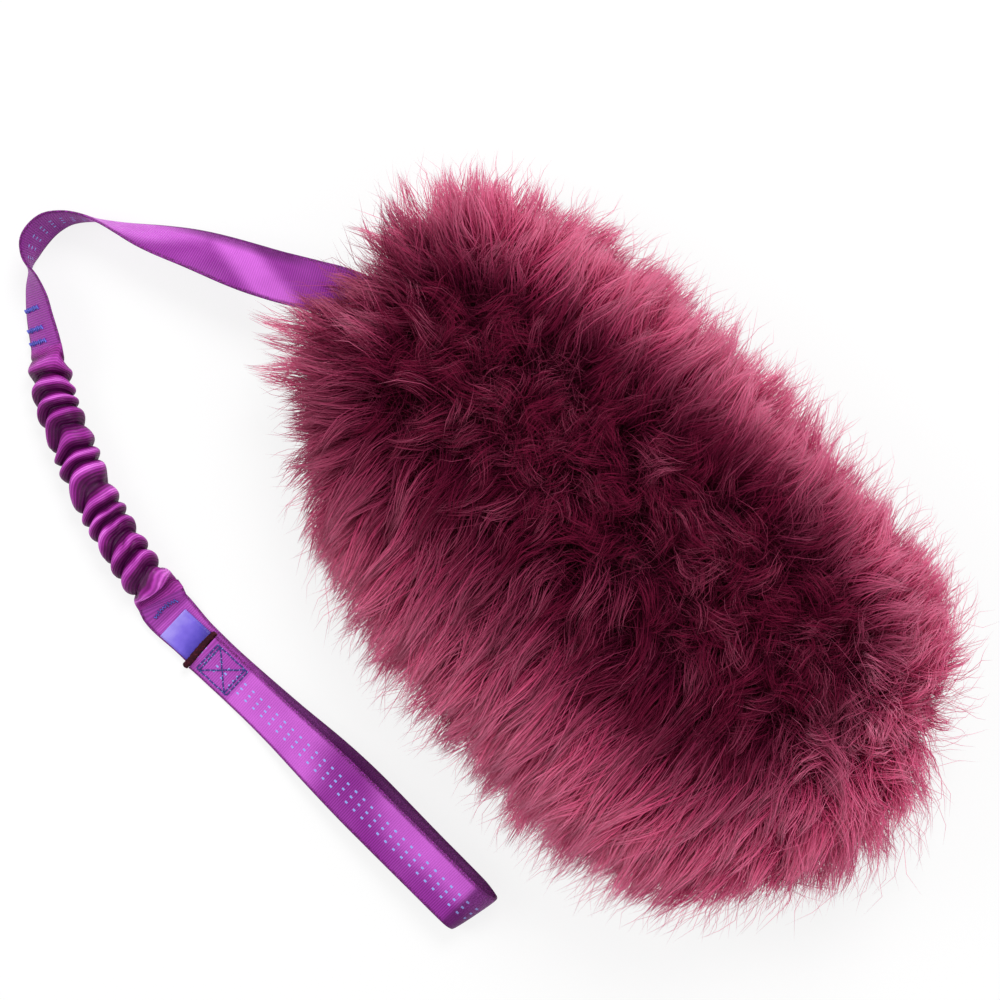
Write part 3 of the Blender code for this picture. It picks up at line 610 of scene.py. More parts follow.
def setStage():
    camera = placed("camera", bpy.data.cameras.new("camera"))
    camera.location = stage["camera"]
    camera.data.lens = stage["lens"]
    camera.data.sensor_width = stage["sensor"]
    camera.data.clip_start = 0.01
    bpy.context.scene.camera = camera

    form = bmesh.new()
    bmesh.ops.create_grid(form, x_segments=1, y_segments=1, size=stage["floorSize"] / 2)
    floor = placed("floor", meshFrom("floor", form))
    look = Look("floorPaper", Roughness=0.9, Base_Color=stage["floorColour"], Specular_IOR_Level=0.1)
    glow = look.node("ShaderNodeEmission", {}, (1, 1, 1, 1), 1.0)
    seen = look.node("ShaderNodeLightPath", {}) * stage["floorGlow"]
    blend = look.node("ShaderNodeMixShader", {}, seen, Wire(look, look.shader.outputs[0]), glow)
    look.fill(look.tree.nodes["Material Output"].inputs[0], blend)
    floor.data.materials.append(look.material)

    world = bpy.data.worlds.new("softRoom")
    world.use_nodes = True
    background = world.node_tree.nodes["Background"].inputs
    background[0].default_value = (1, 1, 1, 1)
    background[1].default_value = stage["worldStrength"]
    bpy.context.scene.world = world

    for title, (place, power) in stage["lamps"].items():
        data = bpy.data.lights.new(title, "AREA")
        data.shape = "DISK"
        data.size = stage["lampSize"]
        data.energy = power
        lamp = placed(title, data)
        lamp.location = place
        lamp.rotation_euler = (-Vector(place)).to_track_quat("-Z", "Y").to_euler()
    bpy.context.scene.view_settings.view_transform = "Standard"
    print("stage set")


setStage()


# Webbing material: cross ribs, speckled edges and rows of pale dashes on one face, with painted shade and
# painted satin highlights

nylon = {
    "plum": (0.30, 0.021, 0.33),
    # glow is the painted satin highlight's colour
    "glow": (0.62, 0.125, 0.67),
    # shade is the dark of the ribs and of painted shade
    "shade": (0.085, 0.003, 0.09),
    "edge": (0.06, 0.003, 0.05),
    "dash": (0.27, 0.42, 0.87),
    "ribPitch": 1.15,
    "dashPitch": 5.5,
    "dashLength": 1.5,
    "dashWidth": 1.0,
    "dashRow": 3.5,
}


def webbingLook():
    look = Look("tubular_nylon_dashed", Roughness=0.45, Specular_IOR_Level=0.22)
    weave = look.attribute("weave")
    across, height, along = (weave.part(k) for k in range(3))
    rib = (along * (2 * math.pi / nylon["ribPitch"])).sin()
    patch = look.noise(look.scaled(weave, (0.06, 0.06, 0.05)), 1.0, 1.0)
    fibre = look.noise(look.scaled(weave, (6.0, 2.0, 0.8)), 1.0, 2.0)
    shade = look.attribute("shade")
    darker, lit = shade.part(0), shade.part(1)
    # painted highlight: broad soft bands of satin shine, with the ribs plainer between them
    shine = (lit * 0.85 + (patch - 0.5) * 0.5 + 0.06).clamped()
    colour = look.mixed(shine, nylon["plum"], nylon["glow"])
    dark = (0.5 - rib * 0.5) * (0.62 - shine * 0.42) + (fibre - 0.5) * 0.25
    colour = look.mixed(dark.clamped(), colour, nylon["shade"])
    edge = abs(across).band(10.3, 11.7)
    speckle = look.noise(look.scaled(weave, (2.2, 2.2, 1.4)), 1.0, 1.0)
    edgeTone = look.mixed(speckle.band(0.45, 0.62), nylon["edge"], nylon["plum"])
    colour = look.mixed(edge * 0.85, colour, edgeTone)
    grain = speckle.band(0.35, 0.7) * 0.25
    # painted shade from the shade attribute, broken a little by the speckle
    colour = look.mixed((darker - grain * darker).clamped(), colour, nylon["shade"])
    # three rows of dashes, dimmed under painted shade
    row = (across / nylon["dashRow"] + 0.5).fraction() - 0.5
    inRow = abs(row) < nylon["dashWidth"] / nylon["dashRow"] / 2
    inRow = inRow * (abs(across) < nylon["dashRow"] * 1.4)
    inStep = (along / nylon["dashPitch"]).fraction() < nylon["dashLength"] / nylon["dashPitch"]
    onFace = height < -0.2
    colour = look.mixed(inRow * inStep * onFace * (0.9 - darker * 0.4), colour, nylon["dash"])
    return look.finished(colour, rib * 0.5 + fibre * 0.4, 0.12 * mm, 0.8)


dashedNylon = webbingLook()


def loopGirth(place):
    s = (place - boxPlace).dot(loopHeading)
    pastBox = softStep((s - loop["boxLength"]) / (60 * mm))
    beforeBox = softStep((-s - loop["boxLength"]) / (20 * mm))
    flare = softStep((s - loop["flareStart"]) / loop["flareRun"])
    return mix(mix(web["waist"], 1.0, max(pastBox, beforeBox)), loop["flare"], flare)


def sampleAt(low, high, distance):
    return min(range(low, high), key=lambda i: abs(distances[i] - distance))


splitAt = sampleAt(mouthAt, swingAt, distances[mouthAt] + 34 * mm)
gripIn = sampleAt(sleeveFrom, sleeveTo, distances[sleeveFrom] + sleeve["grip"])
gripOut = sampleAt(sleeveFrom, sleeveTo, distances[sleeveTo] - sleeve["grip"])
# the leader's webbing ends where it has gone farthest past the swing
swingPlace, foldPlace = joints["leader_swing"], joints["handle_fold"]
swingIn, foldIn = routeFrames[swingAt][1], routeFrames[foldAt][1]
turnAt = max(range(swingAt, sleeveFrom), key=lambda i: (routeFrames[i][0] - swingPlace).dot(swingIn))
webbing = {}
for name, first, last, girthOf, *replaced in (
    ("mouth_webbing", 0, splitAt, None, "core_strap"),
    ("leader_webbing", splitAt, turnAt, None, "leader_strap"),
    ("arc_webbing", turnAt, gripIn, None, "arc_strap"),
    ("hand_webbing", gripOut, len(route) - 1, loopGirth, "sleeve_tail", "handle_loop"),
):
    webbing[name] = dress(strap(name, first, last, girthOf), dashedNylon, "tubular_nylon", *replaced)
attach(webbing["arc_webbing"], "bungee")
for name, body, other, place, way, before, after in (
    ("mouth_webbing", "sheepskin", "leader", mouth, outward, 12, 22),
    ("leader_webbing", "leader", "bungee", swingPlace, swingIn, 20, 14),
    ("hand_webbing", "bungee_end", "handle", foldPlace, foldIn, 7, 5),
):
    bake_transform(webbing[name])
print("webbing laid")

# The gathered sleeve: a tube of webbing rucked into arched, merging rolls over its elastic

gathers = {
    "rolls": 14.0,
    "depth": 3.4 * mm,
    "proud": 1.2 * mm,
    "arch": 0.4,
    "slant": 0.27,
    "fineDepth": 1.2 * mm,
    "fullCrown": 2.1,
    "hug": 0.12 * mm,
    "lowest": 0.35 * mm,
    "endTone": 0.7,
    "rings": 420,
    "sides": 96,
    # painted shade in the creases, and the painted tones from shaded valley up to the lit crest
    "paintedCreaseShade": (0.04, 0.0, 0.034),
    "paintedFoldTones": {
        0.28: (0.10, 0.002, 0.08),
        0.56: (0.31, 0.018, 0.28),
        0.8: (0.47, 0.05, 0.45),
        1.0: (0.80, 0.16, 0.78),
    },
}
elastic = {"halfWidth": 9 * mm, "halfThick": 1 * mm, "radius": 4.3 * mm, "rings": 120, "sides": 16}
sleeveStart, sleeveRun = distances[sleeveFrom], distances[sleeveTo] - distances[sleeveFrom]


def stretchy(name, lengths, x, y, layers, material, slot, replaced):
    # a tube whose rings reach x across and y off the route
    tracks = []
    for part in range(3):
        rows = np.array([row[part] for row in routeFrames])
        tracks.append(np.stack([np.interp(lengths, distances, rows[:, k]) for k in range(3)], axis=-1))
    places, headings, across = tracks
    headings = unit(headings)
    across = unit(across - headings * np.sum(across * headings, axis=-1, keepdims=True))
    spots = places + across * x[..., None] + np.cross(headings, across) * y[..., None]
    spots[..., 2] = np.maximum(spots[..., 2], gathers["lowest"])
    piece = rolledGrid(name, *x.shape, lambda i, j: Vector(spots[i, j]), layers)
    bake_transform(dress(piece, material, slot, replaced))


def slowNoise(x, y, seed):
    # smooth noise on a grid of any shape, a sum of leaning waves
    total = 0
    for k in range(6):
        lean = 2.399 * k + seed
        rate = 0.6 + 0.34 * k
        wave = np.sin(rate * (x * math.cos(lean) + y * math.sin(lean)) + 1.7 * k * k + seed)
        total = total + wave / (1 + 0.3 * k)
    return total / 3


def rollShape(phase, sharpness):
    # one roll between two creases: 0 in the crease, 1 on the crest
    where = phase - np.floor(phase)
    return np.maximum(1 - (2 * where - 1) ** 2, 0) ** sharpness


def gatheredLook():
    look = Look("tubular_nylon_gathered", Roughness=0.42, Specular_IOR_Level=0.2)
    weave = look.attribute("weave")
    fold, along = weave.part(1), weave.part(2)
    patch = look.noise(look.place(), 160.0, 3.0)
    rib = ((along + patch * 0.8) * (2 * math.pi / nylon["ribPitch"])).sin()
    # the tone is painted light: painted shade in the creases, a painted highlight on each crest
    depth = (fold + (patch - 0.5) * 0.3 + rib * 0.07).clamped()
    colour = look.ramp(depth, {0.0: gathers["paintedCreaseShade"], **gathers["paintedFoldTones"]})
    colour = look.mixed(((0.5 - rib * 0.5) * 0.3).clamped(), colour, gathers["paintedCreaseShade"])
    return look.finished(colour, rib * 0.6 + patch * 0.4, 0.16 * mm, 0.8)


def makeSleeve():
    share = np.linspace(0, 1, gathers["rings"])[:, None]
    turn = (np.arange(gathers["sides"]) + 0.5)[None, :] / gathers["sides"] * 2 * math.pi
    aside, up = np.cos(turn), np.sin(turn)
    snug = (halfWeb + gathers["hug"], halfThick + gathers["hug"], 0.0)
    halfWide, halfTall, rounded = np.hsplit(np.array([sleeveSize(x, *snug) for x in share[:, 0]]), 3)
    fade = np.sqrt(rounded)
    power = 2 / mix(web["crown"], gathers["fullCrown"], rounded)
    x = halfWide * signedPower(aside, power)
    y = halfTall * signedPower(up, power)
    # the rolls follow each other unevenly, slant, arch, and wander into each other
    along = share * gathers["rolls"]
    along = along + 0.22 * np.sin(2.1 * along + 0.4) * np.sin(math.pi * share)
    wander = slowNoise(along * 0.9, aside * 1.8, 2.0) * 0.3 + slowNoise(along * 0.8, up * 1.9, 5.0) * 0.24
    phase = along + 0.3 + gathers["arch"] * up + gathers["slant"] * aside + wander
    roll = rollShape(phase, 0.66 + (1 - np.abs(aside)))
    fine = rollShape(phase * 2 + 0.3 + 0.8 * slowNoise(along * 1.1, aside * 2.4, 8.0), 0.8)
    fineShare = softStep(slowNoise(along * 0.8, np.cos(turn - 0.8) * 2.2, 11.0) * 1.4 + 0.45)
    fullness = 0.84 + 0.16 * slowNoise(along * 0.8, aside * 0.8, 14.0)
    lift = gathers["proud"] * fullness * roll - gathers["depth"] * (1 - roll) * (0.75 + 0.25 * fullness)
    lift = lift - gathers["fineDepth"] * (1 - fine) * fineShare * roll
    pull = 1 + lift * fade * (0.35 + 0.65 * rounded) / np.hypot(x, y)
    # the tone is painted light and shade: a painted highlight on one side of each roll's crest, painted
    # shade in its creases, and the flat ends keep one tone
    lit = 0.5 + 0.5 * np.cos((phase - np.floor(phase) - 0.36) * 2 * math.pi)
    tone = roll * (0.4 + 0.68 * lit**1.6) * (1 - 0.5 * (1 - fine) * fineShare)
    tone = tone * (0.8 + 0.35 * slowNoise(along * 1.3, aside * 1.5, 17.0))
    tone = tone * fade + gathers["endTone"] * (1 - fade)
    rollLength = sleeveRun / gathers["rolls"] / mm

    def weaveOf(i, j):
        return (turn[0, j] * 10, tone[i, j], phase[i, j] * rollLength)

    lengths = sleeveStart + share * sleeveRun + 0 * turn
    layers = {"weave": weaveOf}
    cloth = ("tubular_nylon", "gathered_sleeve")
    stretchy("gathered_webbing", lengths, x * pull, y * pull, layers, gatheredLook(), *cloth)
    print("sleeve gathered")


def makeElastic():
    # the flat braid inside, sewn in at both ends
    inset = sleeve["grip"] + web["thickness"] + gap
    lengths = np.linspace(sleeveStart + inset, sleeveStart + sleeveRun - inset, elastic["rings"])[:, None]
    rounded = np.array([[sleeveSize(x)[2]] for x in (lengths[:, 0] - sleeveStart) / sleeveRun])
    turn = np.arange(elastic["sides"])[None, :] / elastic["sides"] * 2 * math.pi
    ripple = 1 + 0.05 * np.sin(np.arange(elastic["rings"]) * 1.1)[:, None]
    power = 1 - 0.5 * (1 - rounded)
    x = mix(elastic["halfWidth"], elastic["radius"], rounded) * signedPower(np.cos(turn), power) * ripple
    y = mix(elastic["halfThick"], elastic["radius"], rounded) * signedPower(np.sin(turn), power) * ripple
    look = Look("elastic_rubber_braid", Roughness=0.7)
    braid = look.noise(look.place(), 900.0, 2.0)
    rubber = look.finished(look.ramp(braid, {0.35: "1a1a1e", 0.7: "3a3a40"}), braid, 0.2 * mm)
    stretchy("braided_elastic", lengths + 0 * turn, x, y, {}, rubber, "elastic_rubber", "elastic_core")


makeSleeve()
makeElastic()


# Threads: bar tacks sewn as zigzags, and the box with its cross as single stitches

thread = {
    "radius": 0.36 * mm,
    "tacks": ((-140, -8.6), (-138.6, -18.4), (-137.2, -25)),
    "tackLength": 14 * mm,
    "tackHalfWidth": 1.1 * mm,
    "tackPitch": 0.8 * mm,
    "tackInset": 1 * mm,
    "stitch": 2.3 * mm,
    "stitchGap": 0.75 * mm,
    "stitchArch": ((0.0, -0.12), (0.12, 0.2), (0.5, 0.34), (0.88, 0.2), (1.0, -0.12)),
    "knot": ((-0.2, 0.02), (0.2, 0.06)),
    "boxOver": 0.5 * mm,
    "boxSide": 8.1 * mm,
    "rowGap": 1.6 * mm,
}


def threadLook(name, code):
    look = Look("blue_thread_" + name, Roughness=0.5)
    twist = look.noise(look.place(), 2600.0, 1.0)
    dark = tuple(0.45 * x for x in tint(code))
    return look.finished(look.ramp(twist, {0.3: dark, 0.65: code}), twist, 0.1 * mm)


royal = threadLook("royal", "7075ec")
navy = threadLook("navy", "34348c")
sky = threadLook("sky", "86a4ee")


def threads(name, lines, girth, look, body, *replaced):
    # round threads along lines of points, made one mesh
    curve = bpy.data.curves.new(name, "CURVE")
    curve.dimensions = "3D"
    for line in lines:
        spline = curve.splines.new("POLY")
        spline.points.add(len(line) - 1)
        for point, place in zip(spline.points, line):
            point.co = (*place, 1)
    curve.bevel_depth = girth * thread["radius"]
    curve.bevel_resolution = 1
    curve.use_fill_caps = True
    holder = placed(name, curve)
    mesh = shapedMesh(name, holder)
    bpy.data.objects.remove(holder)
    mesh.shade_smooth()
    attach(dress(placed(name, mesh), look, "blue_thread", *replaced), body)


def zigzag(place, aside, lift, bow=0.0):
    # a bar tack over the route's sample that is nearest to the place
    middle, heading, across, normal = min(routeFrames, key=lambda row: (row[0] - place).length)
    line = []
    count = int(thread["tackLength"] / thread["tackPitch"])
    for k in range(count + 1):
        share = k / count * 2 - 1
        side = thread["tackHalfWidth"] * (1 if k % 2 else -1) * (0.8 + 0.25 * math.sin(5.3 * k))
        out = across * (aside + share * thread["tackLength"] / 2)
        rise = lift + 0.12 * mm * math.sin(2.9 * k)
        line.append(middle + out + heading * (side + bow * (1 - share * share)) + normal * rise)
    return line


def settled(place, rise):
    # the point this far above the hand webbing's topmost face
    hit = webbing["hand_webbing"].ray_cast(Vector((place.x, place.y, 60 * mm)), Vector((0, 0, -1)))
    return hit[1] + Vector((0, 0, rise))


def sewTacks():
    aside = thread["tackInset"] + thread["tackLength"] / 2 - halfWeb
    for number, (x, y) in enumerate(thread["tacks"], 1):
        place = Vector((mouth.x + x * mm, mouth.y + y * mm, webRest(sleeve["topRoll"])))
        line = zigzag(place, aside, halfThick + 0.3 * mm)
        threads("zigzag_tack_%d" % number, [line], 1.25, royal, "bungee", "upper_bar_tack_%d" % number)
    tail = joints["bungee_stretch"].lerp(foldPlace, 0.55)
    line = [settled(place, 0.35 * mm) for place in zigzag(tail, 0, 0, -1.4 * mm)]
    threads("zigzag_tack_low", [line], 1.4, navy, "bungee_end", "lower_bar_tack")
    upon = [place + Vector((0, 0, 0.45 * mm)) for place in line]
    threads("zigzag_tack_upon", [upon], 0.7, royal, "bungee_end")


def boxPoint(s, m, z):
    return Vector(loopRow(s, m, z)[:3])


def sewnAt(start, end, share, offset, wave, rise):
    # a point of a row of stitching; the offset along the box and the rise are in millimetres
    spot = boxPoint(mix(start[0], end[0], share) + offset * mm, mix(start[1], end[1], share) + wave, 0)
    return settled(spot, rise * mm)


def sewBox():
    # two rows across each end, one along each side, and the cross between the corners
    half, side, rowGap = loop["boxLength"] / 2 + thread["boxOver"], thread["boxSide"], thread["rowGap"]
    rows = []
    for end in (-half, half - rowGap):
        rows.append(((end, -side), (end, side)))
        rows.append(((end + rowGap, side), (end + rowGap, -side)))
    rows += [((-half, m), (half, m)) for m in (-side, side)]
    rows += [((rowGap - half, m), (half - rowGap, -m)) for m in (-side, side)]
    stitches, knots = [], []
    for row in rows:
        count = max(2, round(math.dist(*row) / (thread["stitch"] + thread["stitchGap"])))
        for k in range(count):
            wave = 0.12 * mm * math.sin(2.1 * k + row[0][0] * 900)
            arch = thread["stitchArch"]
            stitches.append([sewnAt(*row, (k + 0.12 + 0.76 * t) / count, 0, wave, z) for t, z in arch])
            knots.append([sewnAt(*row, k / count, offset, 0, z) for offset, z in thread["knot"]])
    threads("box_stitches", stitches, 1.0, navy, "handle", "box_x_stitch")
    threads("box_knots", knots, 1.0, sky, "handle")


bpy.context.view_layer.update()
sewTacks()
sewBox()


# The webbing's melted end, a dark lumpy bead, and the bare folded label caught under it

bead = {
    "radius": 1.75 * mm,
    "length": 23.4 * mm,
    "out": 1.5 * mm,
    "rise": 0.48 * mm,
    "sink": 1.1 * mm,
    "rings": 90,
    "sides": 26,
    "tones": {0.0: "2b0b16", 0.75: "42121f", 1.0: "6a2436"},
}
labelCut = {
    "width": 18.4 * mm,
    "length": 22 * mm,
    "thickness": 0.2 * mm,
    "bendRadius": 0.21 * mm,
    "aside": 0.6 * mm,
    "curl": 0.9 * mm,
    "flatShare": 0.35,
    "crown": 0.16 * mm,
    "steps": 44,
    "across": 14,
    "warpPitch": 0.28,
    "weftPitch": 0.4,
    "tones": {0.0: "a594f2", 0.3: "7f68e2", 0.65: "523fbd", 1.0: "2f2290"},
    "threads": "241a78",
}


def makeBead():
    def placeOf(i, j):
        share = i / (bead["rings"] - 1)
        x, z = math.cos(j / bead["sides"] * 2 * math.pi), math.sin(j / bead["sides"] * 2 * math.pi)
        s = -loop["overlapEnd"] - gap - bead["out"] + 0.25 * mm * math.sin(6 * share + 1)
        middle = boxPoint(s, (share - 0.5) * bead["length"], endZ + bead["rise"])
        close = math.sqrt(max(1 - abs(2 * share - 1) ** 22, 0.05))
        spot = Vector((share * 34, x * 2.2, z * 2.2))
        lump = 1 + 0.16 * noise.noise(spot * 0.55) + 0.08 * noise.noise(spot * 1.9)
        radius = bead["radius"] * lump * close
        point = middle + loopHeading * (x * radius) + Vector((0, 0, z * radius))
        point.z = max(point.z, endZ - bead["sink"])
        return point

    piece = rolledGrid("melted_bead", bead["rings"], bead["sides"], placeOf, {})
    look = Look("seared_nylon_bead", Roughness=0.8, Specular_IOR_Level=0.15)
    grain = look.noise(look.place(), 1500.0, 3.0)
    coarse = look.noise(look.place(), 420.0, 2.0)
    colour = look.ramp((grain * 0.6 + coarse * 0.4).band(0.4, 0.66), bead["tones"])
    seared = look.finished(colour, grain + coarse, 0.35 * mm, 0.8)
    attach(dress(piece, seared, "seared_nylon", "seared_end"), "handle")


def lowerLayerZ(s):
    # the height of the loop's lower layer, this far along the loop from its box
    rows = [((row[0] - boxPlace).dot(loopHeading), row[0].z) for row in routeFrames[foldAt : foldAt + 60]]
    (sa, za), (sb, zb) = sorted(rows, key=lambda row: abs(row[0] - s))[:2]
    return mix(za, zb, (s - sa) / (sb - sa))


def satinLook():
    look = Look("violet_satin_label", Roughness=0.3, Sheen_Weight=0.3, Sheen_Roughness=0.3)
    weave = look.attribute("weave")
    across, along = weave.part(0), weave.part(2)
    warp = (across * (2 * math.pi / labelCut["warpPitch"])).sin()
    weft = (along * (2 * math.pi / labelCut["weftPitch"])).sin()
    cloud = look.noise(look.scaled(weave, (0.12, 1.0, 0.16)), 1.0, 2.0)
    # painted sheen: lightest at the fold, and painted shade darker towards both of its caught ends, in soft
    # streaks
    foldLine = labelCut["length"] / mm + 0.3
    inward = abs(along - foldLine) / foldLine
    tone = (inward * 0.95 + (cloud - 0.5) * 0.5 + across * 0.012).clamped()
    colour = look.ramp(tone, labelCut["tones"])
    colour = look.mixed(((0.5 - warp * weft * 0.5) * 0.22).clamped(), colour, labelCut["threads"])
    return look.finished(colour, warp * 0.5 + weft * 0.5, 0.04 * mm, 0.6)


def makeLabel():
    # under layer out to the fold, round it, and the upper layer back under the bead
    thick, radius, width = labelCut["thickness"], labelCut["bendRadius"], labelCut["width"]
    steps, across = labelCut["steps"], labelCut["across"]
    path = []
    for k in range(steps + 1):
        s = loop["labelCaught"] - loop["overlapEnd"] - labelCut["length"] * k / steps
        curl = labelCut["curl"] * max(0.0, k / steps - labelCut["flatShare"]) ** 2
        path.append((s, lowerLayerZ(s) + halfThick + gap + thick / 2 + curl))
    upper = [(s, z + 2 * radius) for s, z in reversed(path)]
    s, z = path[-1]
    for turn in (-60, -30, 0, 30, 60):
        path.append((s - radius * math.cos(turn * deg), z + radius + radius * math.sin(turn * deg)))
    path += upper
    lengths = walked(path)

    def asideOf(j):
        return ((j if j <= across else 2 * across + 1 - j) / across - 0.5) * width

    def placeOf(i, j):
        (s0, z0), (s1, z1) = path[max(i - 1, 0)], path[min(i + 1, len(path) - 1)]
        way = Vector((s1 - s0, z1 - z0)).normalized()
        side = thick / 2 if j > across else -thick / 2
        crown = labelCut["crown"] * math.sin(asideOf(j) / width * 7) * (0.5 + 0.5 * math.cos(i * 0.09))
        s, z = path[i][0] - way.y * side, path[i][1] + way.x * side
        return boxPoint(s, labelCut["aside"] + asideOf(j), z + max(crown, 0))

    def weaveOf(i, j):
        return (asideOf(j) / mm, 0, lengths[i] / mm)

    piece = rolledGrid("satin_label", len(path), 2 * across + 2, placeOf, {"weave": weaveOf})
    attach(dress(piece, satinLook(), "violet_satin", "label"), "handle")


makeBead()
makeLabel()


# Hides and their seam stay as the frame has them, inside the wool, and get their own finish


def finishHidden():
    look = Look("sheep_hide_suede", Roughness=0.9)
    nap = look.noise(look.place(), 320.0, 4.0)
    blotch = look.noise(look.place(), 28.0, 2.0)
    colour = look.ramp(nap * 0.6 + blotch * 0.4, {0.3: "8a4a5c", 0.7: "c99aa2"})
    suede = look.finished(colour, nap, 0.4 * mm)
    finishes = {"hide_upper_panel": suede, "hide_lower_panel": suede, "edge_seam_thread": navy}
    for name, finish in finishes.items():
        for slot in nodes[name].material_slots:
            slot.material = finish


finishHidden()
print("threads, bead and label made")


# The wool: a dark lumpy bed, and locks of bent, tapered strands growing out of it

# A form is its length, width, height and depth as shares of the pile's, and its squareness.
# A turn is a bearing and its spread in degrees, and how much further out the wool ends there.
# Locks are their number, the strands of each, a strand's spans, and the lowest and highest root,
# counted as on a ball from -1 to 1. A mottle is its strength, its size and its seed.
# Lengths and fringes of wisps and fuzz are in millimetres, from the least to the most.
# Nearer to the parting than looseWithin the locks point more and more any way. From outerFrom on,
# over outerRun, they reach the slope's length. Strays are the share of strands that leave their lock.
pile = {
    "bedForm": (0.88, 0.83, 0.68, 0.84, 4.5),
    "bedLump": 16 * mm,
    "bedRelief": 3,
    "bedLowest": 6 * mm,
    "partFrom": -118 * mm,
    "partTo": 132 * mm,
    "partAside": 18 * mm,
    # the tones paint light and shade: painted shade deep in the parting, painted backlight out at the rim,
    # painted shade on the near side
    "toneEnds": (285 * mm, 176 * mm),
    "toneNear": 122 * mm,
    "farCorner": 2.2,
    "nearCorner": 3.2,
    "dark": (0.58, 0.44),
    "light": 0.92,
    "nearPaintedShade": 0.19,
    "farFair": 0.90,
    "mottles": ((0.2, 17 * mm, 5), (0.12, 6 * mm, 9)),
    "lockTones": 0.07,
    "strandTones": 0.06,
    "strandRadius": 0.19 * mm,
    "lockRadius": 8.5 * mm,
    "strays": 0.1,
    "twirl": 0.6,
    "twirlLost": 0.42,
    "scatter": 0.15,
    "looseWithin": 52 * mm,
    "outerFrom": 12 * mm,
    "outerRun": 55 * mm,
    "lengthSpread": (0.8, 1.15),
    "leastApart": 2 * mm,
    "widening": 1.06,
    "centreLength": 38 * mm,
    "slopeLength": 78 * mm,
    "fringe": (2 * mm, 24 * mm),
    "trim": 0.35 / (190 * mm),
    "turns": (
        (16, 30, -24 * mm),
        (336, 18, -26 * mm),
        (287, 14, -32 * mm),
        (147, 10, 14 * mm),
        (134, 7, -14 * mm),
        (249, 9, 10 * mm),
        (104, 14, -8 * mm),
    ),
    "locks": {
        "wool_locks": (1400, 30, 5, -0.28, 2),
        "wool_rim": (330, 24, 5, -0.35, 0.2),
        "wool_under": (300, 20, 4, -2, -0.2),
    },
    "mouthLocks": (44, 26, 5, 0.05, 2),
    "mouthTries": 40,
    "mouthFurther": 12 * mm,
    "mouthFairer": 0.4,
    "most": 7000,
    "wisps": 2600,
    "wispRadius": 1.15 * 0.11 * mm,
    "wispLengths": (62, 96),
    "wispCurls": (0.3, 0.8),
    "wispFringe": (2, 30),
    "wispScatter": 5 * mm,
    "wispFairer": 0.15,
    "fuzz": 11500,
    "fuzzForm": (0.92, 0.88, 0.9, 0.9, 3.2),
    "fuzzRadius": 0.11 * mm,
    "fuzzLengths": (14, 34),
    "fuzzBow": 0.14,
    "fuzzRise": 0.28,
    "mostFibres": 9000,
    "lowest": 0.8 * mm,
    "lowCorner": (-300 * mm, -202 * mm, -1.0),
    "highCorner": (190 * mm, 194 * mm, 100 * mm),
}
dice = np.random.default_rng(41)
pathSteps = 16
toneSteps, hueSteps = 16, 4


def woolLump(u, v):
    a, b = u / wool["lump"], v / wool["lump"]
    lump = np.sin(a + 0.6 * np.sin(b)) * np.cos(1.15 * b + 0.8 * np.sin(0.6 * a))
    fromLeader = np.hypot(u + wool["length"] / 2, v)
    return wool["lumpiness"] * lump * softStep(fromLeader / wool["lumpFree"] - 1)


def leanAt(end):
    return np.where(end < 0, wool["nearLean"], wool["farLean"]) * end**2


def pilePoints(directions, lengthShare, widthShare, heightShare, depthShare, squareness):
    # points of the pile's own form for unit directions, drawn in towards its middle
    x, y, z = directions.T
    angle = np.arctan2(y, x)
    spread = np.hypot(x, y) ** wool["roundness"]
    power = 2 / squareness
    u = wool["length"] / 2 * signedPower(np.cos(angle), power)
    halfWidth = np.where(y > 0, wool["farHalfWidth"], wool["nearHalfWidth"])
    v = halfWidth * signedPower(np.sin(angle), power)
    end = u / (wool["length"] / 2)
    v = v * (1 + wool["taper"] * end)
    v = v * (1 + wool["swell"] * (np.cos(3 * angle + 0.6) + 0.7 * np.cos(5 * angle + 2)))
    u = u - wool["endSkew"] * v * np.maximum(-end, 0)
    v = v + leanAt(end)
    u, v = u * spread, v * spread
    swell = 1 + woolLump(u, v)
    u, v = u * swell * lengthShare, v * swell * widthShare
    most = np.where(z > 0, wool["up"] * heightShare, wool["down"] * depthShare)
    height = wool["seamHeight"] + signedPower(z, wool["roundness"]) * most * swell**2
    return np.stack((*toWorld(u, v), height), axis=1)


def pastOutline(places):
    # how far points lie outside the pile's outline on the floor, in metres; less than 0 inside it
    u, v = toWool(places[..., 0], places[..., 1])
    end = np.clip(u / (wool["length"] / 2), -1, 1)
    aside = v - leanAt(end)
    halfWidth = np.where(aside > 0, wool["farHalfWidth"], wool["nearHalfWidth"])
    halfWidth = halfWidth * (1 + wool["taper"] * end)
    along = u + wool["endSkew"] * aside * np.maximum(-end, 0)
    out = np.abs(2 * along / wool["length"]) ** wool["squareness"]
    out = (out + np.abs(aside / halfWidth) ** wool["squareness"]) ** (1 / wool["squareness"])
    return (1 - 1 / np.maximum(out, 0.05)) * np.hypot(u, aside)


def fringeShift(places):
    # the pile ends sooner or later in some directions seen from its middle, as in the photograph
    bearing = np.degrees(np.arctan2(places[:, 1], places[:, 0]))
    shift = np.zeros(len(places))
    for turn, spread, size in pile["turns"]:
        off = (bearing - turn + 180) % 360 - 180
        shift = shift + size * np.exp(-((off / spread) ** 2))
    return shift


def formPoints(directions, form):
    # directions are drawn apart near the axes, so that a squarish outline gets its points evenly
    x, y, z = directions.T
    flat = np.maximum(np.hypot(x, y), 1e-9)
    x, y = (signedPower(part / flat, form[-1] / 2) for part in (x, y))
    share = flat / np.hypot(x, y)
    places = pilePoints(np.stack((x * share, y * share, z), axis=1), *form)
    # the form draws in where the fringe does, by a part of its shift
    places[:, :2] *= 1 + pile["trim"] * fringeShift(places)[:, None]
    return places


